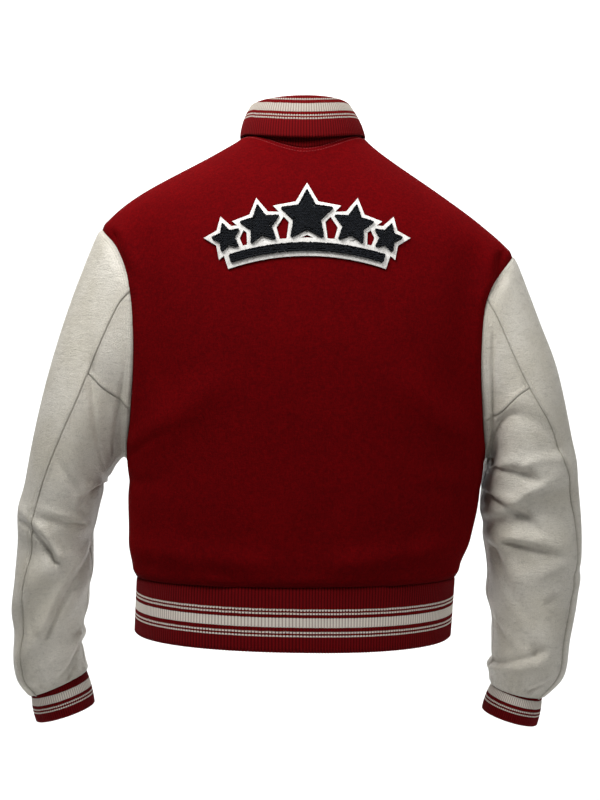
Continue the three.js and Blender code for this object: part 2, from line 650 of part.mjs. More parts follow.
// Outer and inner points of a sleeve piece; angles(ring) gives its columns in degrees.
function sleeveGrids(side, rings, angles) {
  const outer = [];
  const inner = [];
  rings.forEach((ring) => {
    const row = angles(ring).map((degrees) => degrees * DEGREE);
    if (ring === 0) {
      const rims = row.map((angle) => armholeRim(side, angle));
      const shifted = rims.map(({ point, away }) => point.clone().addScaledVector(away, SEAM_GAP));
      outer.push(shifted);
      inner.push(shifted.map((point, column) =>
        point.clone().addScaledVector(rims[column].normal, -LEATHER_THICK)));
      return;
    }
    const points = row.map((angle) => sleevePoint(side, ring, angle));
    const atHem = ring === SLEEVE_RINGS[side].length - 1;
    outer.push(points);
    inner.push(points.map((point, column) => {
      const normal = sleeveNormal(side, ring, row[column]);
      if (atHem) {
        normal.projectOnPlane(hemAxis(side)).normalize();
      }
      return point.clone().addScaledVector(normal, -LEATHER_THICK);
    }));
  });
  return { outer, inner };
}

// Direction down the arm, square to the sleeve's last ring.
function hemAxis(side) {
  const hand = side === 'left' ? 1 : -1;
  const last = SLEEVE_RINGS[side].at(-1);
  const across = new THREE.Vector3(hand * (last.outX - last.inX), 0, last.outZ - last.inZ);
  return across.cross(new THREE.Vector3(0, hand, 0)).normalize().multiplyScalar(-1);
}

function columnsBetween(from, to, count) {
  return Array.from({ length: count + 1 }, (_, index) => lerp(from, to, index / count));
}

function buildSleeve(side) {
  const table = SLEEVE_RINGS[side];
  const cross = CROSS_SEAM[side];
  const lastRing = table.length - 1;
  const upperRings = columnsBetween(0, cross.ring, GUSSET_ROWS);
  const lowerRings = columnsBetween(cross.ring, lastRing, SLEEVE_ROWS).slice(1);
  const rings = [...upperRings, ...lowerRings];
  const seamAngle = (ring) => valueAt(table, 'ring', 'seam', ring);
  const meeting = seamAngle(cross.ring);
  const crossAngle = (ring) => lerp(cross.armholeAngle, meeting, ring / cross.ring);
  const underEdge = (ring) => (ring < cross.ring ? crossAngle(ring) : seamAngle(ring));
  const top = sleeveGrids(side, rings, (ring) => [
    ...columnsBetween(-180, 0, FRONT_ARMHOLE_ROWS).slice(0, -1),
    ...columnsBetween(0, seamAngle(ring), TOP_BACK_COLUMNS),
  ]);
  const under = sleeveGrids(side, rings, (ring) => columnsBetween(underEdge(ring), 180, UNDER_COLUMNS));
  const gusset = sleeveGrids(side, upperRings, (ring) =>
    columnsBetween(seamAngle(ring), crossAngle(ring), GUSSET_COLUMNS));
  [gusset.outer, gusset.inner].forEach((grid) => {
    const beforeLast = grid.at(-2);
    grid.at(-1).forEach((apex, column) => apex.lerp(beforeLast[column], 1 - GUSSET_END));
  });
  const pieces = { top, under, gusset };
  Object.entries(pieces).forEach(([piece, { outer, inner }]) => {
    [outer, inner].forEach((grid) => {
      trimColumn(grid, 0, 1, 0, grid.length - 1);
      trimColumn(grid, -1, -2, 0, grid.length - 1);
    });
    addPiece(`sleeve_${side}_${piece}`, wallGeometry(outer, inner, false), LEATHER_MATERIAL);
  });
}

// Cuffs: a ribbed tube from just inside the sleeve's hem to the wrist.
function ringPoint(spec, angle, relief, hand) {
  const centre = new THREE.Vector3((spec.outX + spec.inX) / 2, -spec.forward, (spec.outZ + spec.inZ) / 2);
  const across = new THREE.Vector3(spec.outX - spec.inX, 0, spec.outZ - spec.inZ).multiplyScalar(0.5);
  const point = centre.clone().addScaledVector(across, Math.cos(angle));
  point.y += spec.deep * Math.sin(angle);
  const outwards = point.clone().sub(centre).normalize();
  point.addScaledVector(outwards, relief);
  return point.setX(point.x * hand);
}

function buildCuff(side) {
  const hand = side === 'left' ? 1 : -1;
  const start = SLEEVE_RINGS[side].at(-1);
  const end = CUFF_ENDS[side];
  const axis = hemAxis(side);
  const points = CUFF_RIBS * 2;
  const ringRow = (share, count, relief) => Array.from({ length: count }, (_, index) => {
    const spec = {};
    Object.keys(end).forEach((column) => {
      spec[column] = lerp(start[column], end[column], share);
    });
    const angle = (2 * Math.PI * index) / count;
    const inset = -CUFF_INSET * (1 - share) ** 2;
    const point = ringPoint(spec, angle, relief(index) + inset, hand);
    return point.addScaledVector(axis, SEAM_GAP * (1 - share));
  });
  const shares = columnsBetween(0, 1, CUFF_ROWS);
  const outer = shares.map((share) => ringRow(share, points, (index) => ribRelief(index)));
  const inner = shares.map((share) => ringRow(share, points / COARSE_SHARE, () => -RIB_THICK));
  addPiece(`cuff_${side}`, wallGeometry(outer, inner, true), RIB_MATERIAL);
}

const ribRelief = (index) => (index % 2 === 0 ? RIB_RELIEF : -RIB_RELIEF);

// Waistband: from its end on top at the middle front, round the left side and the back.
function bandPoint(angle, z, offset) {
  const side = Math.cos(angle) >= 0 ? 'left' : 'right';
  const face = Math.sin(angle) >= 0 ? 'back' : 'front';
  const wide = valueAt(BAND_WIDTHS, 'z', side, z);
  const deep = valueAt(BAND_WIDTHS, 'z', face, z);
  const down = (HEM_LEVEL - z) / (HEM_LEVEL - BAND_WIDTHS[1].z);
  const aside = BAND_SWING.left * Math.cos(angle);
  const behind = BAND_SWING.back * Math.max(Math.sin(angle), 0);
  const swing = BAND_SWING.all + aside + behind;
  const point = oblongPoint(angle, z, wide, deep, () => offset);
  return point.setZ(z + swing * down);
}

function bandTurn(share) {
  const reach = FRONT_LAP / BAND_WIDTHS[0].right;
  return lerp(-Math.PI / 2 - reach, 1.5 * Math.PI + FRONT_LAP / BAND_WIDTHS[0].left, share);
}

function buildWaistband() {
  const levels = BAND_WIDTHS.map((row, index) => (index === 0 ? row.z - SEAM_GAP : row.z)).reverse();
  const row = (z, count, relief) => Array.from({ length: count + 1 }, (_, index) => {
    const angle = bandTurn(index / count);
    const onTop = angle < 0 ? frontLift(bandPoint(angle, z, 0).x) : 0;
    return bandPoint(angle, z, onTop + relief(index));
  });
  const outer = levels.map((z) => row(z, BAND_RIBS * 2, ribRelief));
  const inner = levels.map((z) => row(z, (BAND_RIBS * 2) / COARSE_SHARE, () => -RIB_THICK));
  addPiece('waistband', wallGeometry(outer, inner, false), RIB_MATERIAL);
}

// Collar: a ribbed stand that turns over and lies down round the neck.
function collarRail(spec, planAngle, rise) {
  const c = Math.cos(planAngle);
  const s = Math.sin(planAngle);
  const deep = s >= 0 ? spec.back : spec.front;
  const zEnd = s >= 0 ? spec.zBack : spec.zFront;
  const share = s >= 0 ? s * s : Math.abs(s) ** spec.fall;
  const x = spec.middle * c * c + spec.side * c;
  return new THREE.Vector3(x, deep * s, lerp(spec.zSide, zEnd, share) + rise);
}

// Neck seam on the straight stretches between the panels' corners, with the wall's normal
// and the way off the panels. The left front's lift carries the collar's left end with it.
const NECK_STEP = Math.PI / BACK_COLUMNS;

function neckCorner(step) {
  const spot = neckSpot(step * NECK_STEP);
  const normal = bodyNormal(spot.angle, spot.z);
  const point = bodyPoint(spot.angle, spot.z);
  const onLeftFront = step <= 0 || step > 1.5 * BACK_COLUMNS;
  point.addScaledVector(normal, onLeftFront ? frontLift(point.x) : 0);
  return { point, normal };
}

function neckRim(planAngle) {
  const place = planAngle / NECK_STEP;
  const step = Math.floor(place);
  const start = neckCorner(step);
  const end = neckCorner(step + 1);
  const along = end.point.clone().sub(start.point);
  const normal = start.normal.lerp(end.normal, place - step).normalize();
  const away = new THREE.Vector3().crossVectors(normal, along).normalize();
  return { point: start.point.lerp(end.point, place - step), normal, away };
}

function collarSections(planAngle, relief) {
  const { point: seam, normal, away } = neckRim(planAngle);
  seam.addScaledVector(away, COLLAR_SEAM_GAP);
  const fold = collarRail(COLLAR_FOLD, planAngle, 0);
  const edge = collarRail(COLLAR_EDGE, planAngle, 0);
  const lift = planAngle < 0 ? frontLift(edge.x) : 0;
  const clear = COLLAR_CLEARANCE + LAP_CLEARANCE * lift;
  edge.z = Math.max(edge.z, shoulderHeight(edge.x, edge.y) + clear);
  const outwards = new THREE.Vector3(Math.cos(planAngle), Math.sin(planAngle), 0);
  const gap = COLLAR_TURN - RIB_THICK;
  const leafTop = fold.clone().addScaledVector(outwards, COLLAR_TURN);
  const leafMiddle = leafTop.clone().lerp(edge, 0.5).addScaledVector(outwards, LEAF_ROLL + lift);
  const shifted = (point, out, up) => point.clone().addScaledVector(outwards, out).setZ(point.z + up);
  const seen = [
    seam.clone().addScaledVector(normal, -RIB_THICK),
    shifted(fold, -COLLAR_TURN - relief, 0),
    shifted(fold, 0, COLLAR_TURN + relief),
    shifted(fold, COLLAR_TURN + relief, 0),
    shifted(leafMiddle, relief, 0),
    shifted(edge, relief, 0),
  ];
  const hidden = [
    seam,
    shifted(fold, -gap, 0),
    shifted(fold, 0, gap),
    shifted(fold, gap, 0),
    shifted(leafMiddle, -RIB_THICK, 0),
    shifted(edge, -RIB_THICK, 0),
  ];
  return { seen, hidden };
}

function buildCollar() {
  const reach = COLLAR_END_GAP / NECK.left;
  const planAngle = (share) => lerp(-Math.PI / 2 + reach, 1.5 * Math.PI - reach, share);
  const columns = (count, face, relief) => Array.from({ length: count + 1 }, (_, index) =>
    collarSections(planAngle(index / count), relief(index))[face]);
  const turned = (sections) => sections[0].map((_, row) => sections.map((section) => section[row]));
  const seen = turned(columns(COLLAR_RIBS * 2, 'seen', ribRelief));
  const hidden = turned(columns((COLLAR_RIBS * 2) / COARSE_SHARE, 'hidden', () => 0));
  addPiece('collar', wallGeometry(seen, hidden, false), RIB_MATERIAL);
}

// Applique: flat shapes, joined and then bent onto the back.
function starShape(x, z, size, waist, turn) {
  const shape = new THREE.Shape();
  for (let corner = 0; corner < STAR_POINTS * 2; corner += 1) {
    const reach = corner % 2 === 0 ? size : waist;
    const angle = Math.PI / 2 + turn + (corner * Math.PI) / STAR_POINTS;
    const cornerX = x + reach * Math.cos(angle);
    const cornerZ = z + reach * Math.sin(angle);
    if (corner === 0) {
      shape.moveTo(cornerX, cornerZ);
    } else {
      shape.lineTo(cornerX, cornerZ);
    }
  }
  shape.closePath();
  return shape;
}

function barShape(border) {
  const inner = PATCH.arc - border;
  const outer = PATCH.arc + PATCH.barHeight + border;
  const half = PATCH.barHalfAngle * DEGREE + border / PATCH.arc;
  const shape = new THREE.Shape();
  shape.absarc(0, -PATCH.arc, outer, Math.PI / 2 + half, Math.PI / 2 - half, true);
  shape.absarc(0, -PATCH.arc, inner, Math.PI / 2 - half, Math.PI / 2 + half, false);
  return shape;
}

function starPlace({ angle, size }) {
  const reach = PATCH.arc + PATCH.barHeight + PATCH.starSpace + size * Math.cos(Math.PI / STAR_POINTS);
  return {
    x: reach * Math.sin(angle * DEGREE),
    z: reach * Math.cos(angle * DEGREE) - PATCH.arc,
    turn: -angle * DEGREE,
  };
}

function solidOf(shape, depth) {
  const extruded = new THREE.ExtrudeGeometry(shape, { depth, bevelEnabled: false, curveSegments: 12 });
  extruded.deleteAttribute('normal');
  extruded.deleteAttribute('uv');
  const merged = mergeVertices(extruded, 1e-4);
  return new wasm.Manifold(new wasm.Mesh({
    numProp: 3,
    vertProperties: Float32Array.from(merged.attributes.position.array),
    triVerts: Uint32Array.from(merged.index.array),
  }));
}

// Spot on the body's back over an x and z seen square on.
function backPoint(x, z) {
  const { deep, wide } = bodySection(Math.atan2(1, x), z);
  const y = deep * (1 - (Math.abs(x) / wide) ** BODY_ROUNDNESS) ** (1 / BODY_ROUNDNESS);
  return new THREE.Vector3(x, y + bodyRelief(x, z, 'back'), z);
}

function bentGeometry(solid, lift) {
  const mesh = solid.refineToLength(PATCH_REFINE).getMesh();
  const points = [];
  for (let index = 0; index < mesh.vertProperties.length; index += mesh.numProp) {
    const [flatX, flatZ, height] = mesh.vertProperties.slice(index, index + 3);
    const x = PATCH.x - flatX;
    const z = PATCH.z + flatZ;
    const normal = surfaceNormal(backPoint, x, z, 2, 2).multiplyScalar(-1);
    points.push(backPoint(x, z).addScaledVector(normal, lift + height));
  }
  return geometryOf(points, Array.from(mesh.triVerts));
}

function buildPatch() {
  const backing = PATCH_STARS.reduce((joined, star) => {
    const { x, z, turn } = starPlace(star);
    const waist = star.size * STAR_WAIST + FELT_BORDER;
    return joined.add(solidOf(starShape(x, z, star.size + FELT_BORDER * 1.5, waist, turn), FELT_THICK));
  }, solidOf(barShape(FELT_BORDER), FELT_THICK));
  addPiece('patch_felt', bentGeometry(backing, FELT_LIFT), FELT_MATERIAL);
  const lift = FELT_LIFT + FELT_THICK + SEAM_GAP;
  const bar = solidOf(barShape(0), CHENILLE_THICK);
  addPiece('patch_bar', bentGeometry(bar, lift), CHENILLE_MATERIAL);
  PATCH_STARS.forEach((star, index) => {
    const { x, z, turn } = starPlace(star);
    const solid = solidOf(starShape(x, z, star.size, star.size * STAR_WAIST, turn), CHENILLE_THICK);
    addPiece(`patch_star_${index + 1}`, bentGeometry(solid, lift), CHENILLE_MATERIAL);
  });
}

// Snaps: domed caps that sit on the lifted edge of the left front and of the waistband.
function buildSnaps() {
  const profile = [
    [0, 0],
    [SNAP.radius - 0.4, 0],
    [SNAP.radius, 0.5],
    [SNAP.radius * 0.86, SNAP.height * 0.62],
    [SNAP.radius * 0.45, SNAP.height * 0.95],
    [0, SNAP.height],
  ].map(([radius, height]) => new THREE.Vector2(radius, height));
  const up = new THREE.Vector3(0, 1, 0);
  const levels = Array.from({ length: SNAP.count }, (_, index) => SNAP.first - SNAP.pitch * index);
  levels.push(SNAP.band);
  levels.forEach((z, index) => {
    const onBand = z < HEM_LEVEL;
    const surface = onBand ? (angle, level) => bandPoint(angle, level, RIB_RELIEF) : bodyPoint;
    const normal = surfaceNormal(surface, MIDDLE_FRONT, z, 0.01, 2);
    const cap = new THREE.LatheGeometry(profile, SNAP.segments);
    const snap = addPiece(`snap_${index + 1}`, cap, SNAP_MATERIAL);
    snap.position.copy(surface(MIDDLE_FRONT, z)).addScaledVector(normal, LAP_LIFT + SNAP_LIFT);
    snap.quaternion.setFromUnitVectors(up, normal);
  });
}

buildBack();
buildFront('left');
buildFront('right');
buildWaistband();
buildCollar();
['left', 'right'].forEach((side) => {
  buildSleeve(side);
  buildCuff(side);
});
buildPatch();
buildSnaps();

export default jacket;
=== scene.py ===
"""A varsity jacket, worn and hollow, seen from behind.

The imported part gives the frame. Each sewn piece is worked out again here as a finer shell, with
its creases, seams and knit, and gets its finish: felted wool, grained leather, rib knit, felt,
chenille pile or thread. Lengths are millimetres until a mesh is made, and angles are radians.
"""

import logging
from dataclasses import dataclass, field
from enum import Enum
from functools import reduce
from operator import add
from typing import Any, Callable, ClassVar, NamedTuple, Sequence

import bmesh
import bpy
import numpy as np
from bpy.types import ID, Material, Mesh, NodeSocket, Object
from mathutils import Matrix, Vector


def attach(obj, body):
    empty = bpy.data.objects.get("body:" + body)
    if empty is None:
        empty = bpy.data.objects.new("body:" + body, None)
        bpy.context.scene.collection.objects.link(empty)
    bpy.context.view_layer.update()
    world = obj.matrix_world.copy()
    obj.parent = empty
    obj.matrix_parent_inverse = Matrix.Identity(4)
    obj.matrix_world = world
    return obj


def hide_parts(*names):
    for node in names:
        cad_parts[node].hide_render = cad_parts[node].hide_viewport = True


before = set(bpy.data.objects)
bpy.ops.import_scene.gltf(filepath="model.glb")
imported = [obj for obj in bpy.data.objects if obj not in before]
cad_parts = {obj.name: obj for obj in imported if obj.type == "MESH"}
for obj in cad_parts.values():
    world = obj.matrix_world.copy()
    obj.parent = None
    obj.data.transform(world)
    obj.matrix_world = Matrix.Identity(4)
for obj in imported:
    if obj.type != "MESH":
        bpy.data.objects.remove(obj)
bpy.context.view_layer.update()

log = logging.getLogger("jacket")
Array = np.ndarray
# Metres in a millimetre, the angle of the middle front, and a rim's bulge over half its wall.
MM = 0.001
MIDDLE_FRONT = 1.5 * np.pi
RIM_BULGE = 0.9
# Steps over which slopes are measured, as an angle and as a level.
TURN_STEP = 0.01
LEVEL_STEP = 2.0
# A sine or a length below which a point counts as being on a line.
TINY = 1e-6


class Side(Enum):
    """The wearer's side; its value is the sign of x there."""

    LEFT = 1
    RIGHT = -1

    @property
    def word(self) -> str:
        """The side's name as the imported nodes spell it."""
        return self.name.lower()


class Face(Enum):
    """The half of the body that a panel covers; its value is the sign of y there."""

    BACK = 1
    FRONT = -1


# Arithmetic on whole arrays


def lerp(start: Any, end: Any, share: Any) -> Any:
    """Value at a share of the way from start to end."""
    return start + (end - start) * share


def smoothstep(value: Array, low: float, high: float) -> Array:
    """Soft step from 0 at low to 1 at high: 3t^2 - 2t^3."""
    t = np.clip((value - low) / (high - low), 0, 1)
    return t * t * (3 - 2 * t)


def bell(distance: Array, width: float) -> Array:
    """Bell curve, 1 at no distance: exp(-(distance / width)^2)."""
    return np.exp(-((distance / width) ** 2))


def unit(vectors: Array) -> Array:
    """Vectors divided by their lengths."""
    return vectors / np.maximum(np.linalg.norm(vectors, axis=-1, keepdims=True), 1e-12)


def crowded(count: int, start: float = 0.6, end: float = 0.6) -> Array:
    """Shares from 0 to 1 that lie closer together at the ends.

    The step grows and shrinks along a sine, t - k sin(2 pi t) / (2 pi), with k going from the
    start's crowding to the end's.

    Args:
        count: How many shares.
        start: Crowding at 0, from 0 for even steps up to 1.
        end: Crowding at 1.

    Returns:
        The shares, in order.
    """
    t = np.linspace(0, 1, count)
    return t - lerp(start, end, t) * np.sin(2 * np.pi * t) / (2 * np.pi)


def column(rows: Sequence[NamedTuple], key: str, name: str, place: Array) -> Array:
    """Smooth value of a table's column at places along its key column.

    A cubic Hermite curve runs through the rows, and its slope at a row is that of the line
    between the rows beside it.

    Args:
        rows: The table.
        key: The column that the places lie along.
        name: The column to read.
        place: The places.

    Returns:
        The values, in the places' shape.
    """
    table = sorted((getattr(row, key), getattr(row, name)) for row in rows)
    keys, values = np.array(table, float).T
    slopes = np.empty_like(values)
    slopes[1:-1] = (values[2:] - values[:-2]) / (keys[2:] - keys[:-2])
    slopes[0] = (values[1] - values[0]) / (keys[1] - keys[0])
    slopes[-1] = (values[-1] - values[-2]) / (keys[-1] - keys[-2])
    low = np.clip(np.searchsorted(keys, place) - 1, 0, len(keys) - 2)
    length = keys[low + 1] - keys[low]
    t = (place - keys[low]) / length
    between = lerp(values[low], values[low + 1], t * t * (3 - 2 * t))
    leaving = t * (1 - t) ** 2 * length * slopes[low]
    return between + leaving + t * t * (t - 1) * length * slopes[low + 1]


def grid_normals(points: Array, middle: Array, closed: bool = False) -> Array:
    """Unit normals of a grid: the steps along its columns crossed with those along its rows.

    Args:
        points: Grid of points, rows by columns by 3.
        middle: Points inside the form, one for each row or for each point.
        closed: Whether the last column meets the first.

    Returns:
        Normals that point away from the middle.
    """
    ring = np.concatenate([points[:, -1:], points, points[:, :1]], 1) if closed else points
    across = np.gradient(ring, axis=1)
    along = np.gradient(ring, axis=0)
    normals = unit(np.cross(across, along))
    normals = normals[:, 1:-1] if closed else normals
    outwards = np.sum(normals * (points - middle), axis=-1)
    return normals * np.sign(np.sum(outwards))


class Margins(NamedTuple):
    """Distances of a grid's points from its four edges, along the grid's lines."""

    first_column: Array
    last_column: Array
    first_row: Array
    last_row: Array

    @classmethod
    def of(cls, points: Array) -> "Margins":
        """Margins of a grid of points: running sums of the steps between its points."""
        across = np.cumsum(np.linalg.norm(np.diff(points, axis=1, prepend=points[:, :1]), axis=-1), 1)
        along = np.cumsum(np.linalg.norm(np.diff(points, axis=0, prepend=points[:1]), axis=-1), 0)
        return cls(across, across[:, -1:] - across, along, along[-1:] - along)

    def nearest(self) -> Array:
        """Distance from the nearest edge."""
        return np.minimum.reduce(self)


def table(kind: Callable, *rows: tuple[float, ...]) -> tuple:
    """What a kind makes of each row of numbers, in order."""
    return tuple(kind(*row) for row in rows)


@dataclass(frozen=True)
class Fold:
    """A soft trough or ridge along a line on a surface.

    Its height is depth x exp(-|beside / width| ^ 2), where beside is the distance from a line
    that swings out by bow at its middle, and it fades past the line's ends. Where lee isn't 0 it
    is a crease: the power is lower, so its bottom is sharp, a roll of height lee stands beside
    it, on the side that lee's sign gives, and both grow shallow towards its end.
    """

    u: float
    v: float
    to_u: float
    to_v: float
    width: float
    depth: float
    lee: float = 0.0
    bow: float = 0.0
    sharpness: ClassVar[float] = 1.35
    taper: ClassVar[float] = 0.6
    end_reach: ClassVar[float] = 1.6
    roll_place: ClassVar[float] = 1.8
    roll_reach: ClassVar[float] = 1.4

    def height(self, u: Array, v: Array) -> Array:
        """Height of the fold at places on the surface.

        Args:
            u: The places' first coordinates.
            v: Their second ones.

        Returns:
            The heights, in the places' shape.
        """
        along_u, along_v = self.to_u - self.u, self.to_v - self.v
        length = np.hypot(along_u, along_v)
        along = ((u - self.u) * along_u + (v - self.v) * along_v) / length
        beside = ((u - self.u) * along_v - (v - self.v) * along_u) / length
        share = np.clip(along / length, 0, 1)
        beside = beside - 4 * self.bow * share * (1 - share)
        past = np.maximum.reduce([-along, along - length, np.zeros_like(along)])
        ends = bell(past, self.end_reach * self.width)
        if not self.lee:
            return self.depth * bell(beside, self.width) * ends
        trough = self.depth * np.exp(-np.abs(beside / self.width) ** self.sharpness)
        beyond = beside - np.sign(self.lee) * self.roll_place * self.width
        roll = abs(self.lee) * bell(beyond, self.roll_reach * self.width)
        return (trough + roll) * ends * (1 - self.taper * share)


# Meshes


def link(name: str, data: ID) -> Object:
    """Makes an object for a mesh, a light or a camera and puts it into the scene."""
    made = bpy.data.objects.new(name, data)
    bpy.context.scene.collection.objects.link(made)
    return made


def smoothed(mesh: Mesh) -> Mesh:
    """The mesh, with all its faces shaded smooth."""
    mesh.polygons.foreach_set("use_smooth", np.ones(len(mesh.polygons), bool))
    return mesh


def add_mesh(name: str, points: Array, faces: Array) -> Object:
    """Makes an object from points in millimetres, with its faces turned outwards.

    The faces are turned where the volume that they enclose, a sixth of the sum of a . (b x c)
    over their triangles, comes out below nothing.

    Args:
        name: The object's name.
        points: Points, count by 3.
        faces: Quads, count by 4.

    Returns:
        The object, at the origin.
    """
    corners = points[faces]
    volume = sum(
        np.sum(corners[:, 0] * np.cross(corners[:, one], corners[:, two])) for one, two in ((1, 2), (2, 3))
    )
    mesh = bpy.data.meshes.new(name)
    mesh.from_pydata(points * MM, [], faces if volume > 0 else faces[:, ::-1])
    mesh.update()
    return link(name, smoothed(mesh))


def mark(piece: Object, name: str, values: Array) -> None:
    """Keeps a value with each of a mesh's points, for its material to read."""
    attribute = piece.data.attributes.new(name, "FLOAT", "POINT")
    attribute.data.foreach_set("value", values.astype(np.float32))


def grid_faces(rows: int, columns: int, closed: bool) -> Array:
    """Quads of a grid of points that is stored row by row.

    Args:
        rows: Points along a column.
        columns: Points along a row.
        closed: Whether the last column meets the first.

    Returns:
        Point indices, count by 4.
    """
    starts = np.arange(columns if closed else columns - 1)
    row, start = np.meshgrid(np.arange(rows - 1) * columns, starts, indexing="ij")
    end = (start + 1) % columns
    corners = [row + start, row + end, row + columns + end, row + columns + start]
    return np.stack(corners, -1).reshape(-1, 4)


@dataclass
class Shell:
    """A cloth wall between an outer and an inner grid, with rounded rims.

    marks are values for each grid point that its material reads, and knit is the piece's own
    map, u by v for each grid point, with one more column than the grid where it is closed.
    """

    name: str
    outer: Array
    inner: Array
    closed: bool = False
    marks: dict[str, Array] = field(default_factory=dict)
    knit: Array | None = None

    def rims(self) -> list[tuple[Array, Array]]:
        """The grid's edge loops: one round an open grid, two on a closed one.

        Returns:
            Each loop's point indices, with those of the points just inside it.
        """
        rows, columns = self.outer.shape[:2]
        index = np.arange(rows * columns).reshape(rows, columns)
        if self.closed:
            return [(index[0], index[1]), (index[-1], index[-2])]
        inside = index[np.clip(np.arange(rows), 1, rows - 2)][:, np.clip(np.arange(columns), 1, columns - 2)]
        walk = [np.s_[0, :-1], np.s_[:-1, -1], np.s_[-1, :0:-1], np.s_[:0:-1, 0]]
        return [tuple(np.concatenate([grid[part] for part in walk]) for grid in (index, inside))]

    def build(self) -> Object:
        """Makes the shell: two grids, and a rim that bulges halfway between their edges.

        Returns:
            The shell's object.
        """
        rows, columns = self.outer.shape[:2]
        outer, inner = self.outer.reshape(-1, 3), self.inner.reshape(-1, 3)
        middle = (outer + inner) / 2
        count = len(outer)
        faces = grid_faces(rows, columns, self.closed)
        points, quads = [outer, inner], [faces, (faces + count)[:, ::-1]]
        sources = [np.arange(count), np.arange(count)]
        start = 2 * count
        for edge, inside in self.rims():
            half = np.linalg.norm(outer[edge] - inner[edge], axis=-1, keepdims=True) / 2
            points.append(middle[edge] + unit(middle[edge] - middle[inside]) * half * RIM_BULGE)
            rim = start + np.arange(len(edge))
            following, rim_next = np.roll(edge, -1), np.roll(rim, -1)
            quads.append(np.stack([edge, rim, rim_next, following], -1))
            quads.append(np.stack([rim, edge + count, following + count, rim_next], -1))
            sources.append(edge)
            start += len(edge)
        if self.closed:
            quads[4:] = [quad[:, ::-1] for quad in quads[4:]]
        piece = add_mesh(self.name, np.concatenate(points), np.concatenate(quads))
        source = np.concatenate(sources)
        for name, values in self.marks.items():
            mark(piece, name, values.reshape(-1)[source])
        if self.knit is not None:
            self.lay_map(piece.data, source)
        return piece

    def lay_map(self, mesh: Mesh, source: Array) -> None:
        """Gives each face corner its place on the knit's map.

        A corner's place is its grid point's. In a closed grid, a face of the last column takes
        its far corners from the map's extra column, so that the map doesn't turn back there.

        Args:
            mesh: The shell's mesh.
            source: The grid point that each of the mesh's points comes from.
        """
        columns = self.outer.shape[1]
        corner = np.empty(len(mesh.loops), int)
        mesh.loops.foreach_get("vertex_index", corner)
        row, place = np.divmod(source[corner], columns)
        if self.closed:
            quad = place.reshape(-1, 4)
            wraps = (quad.max(1) == columns - 1) & (quad.min(1) == 0)
            place = np.where(wraps[:, None] & (quad == 0), columns, quad).reshape(-1)
        layer = mesh.uv_layers.new(name="knit")
        layer.data.foreach_set("uv", self.knit[row, place].astype(np.float32).reshape(-1))


# The body's form


class Level(NamedTuple):
    """How deep the body is at a level, behind and in front of its middle."""

    z: float
    back: float
    front: float


class Width(NamedTuple):
    """Half width of the body at a level."""

    z: float
    wide: float


class Edge(NamedTuple):
    """Armhole seam's x on each side, at a share of the way down to the underarm."""

    down: float
    left: float
    right: float


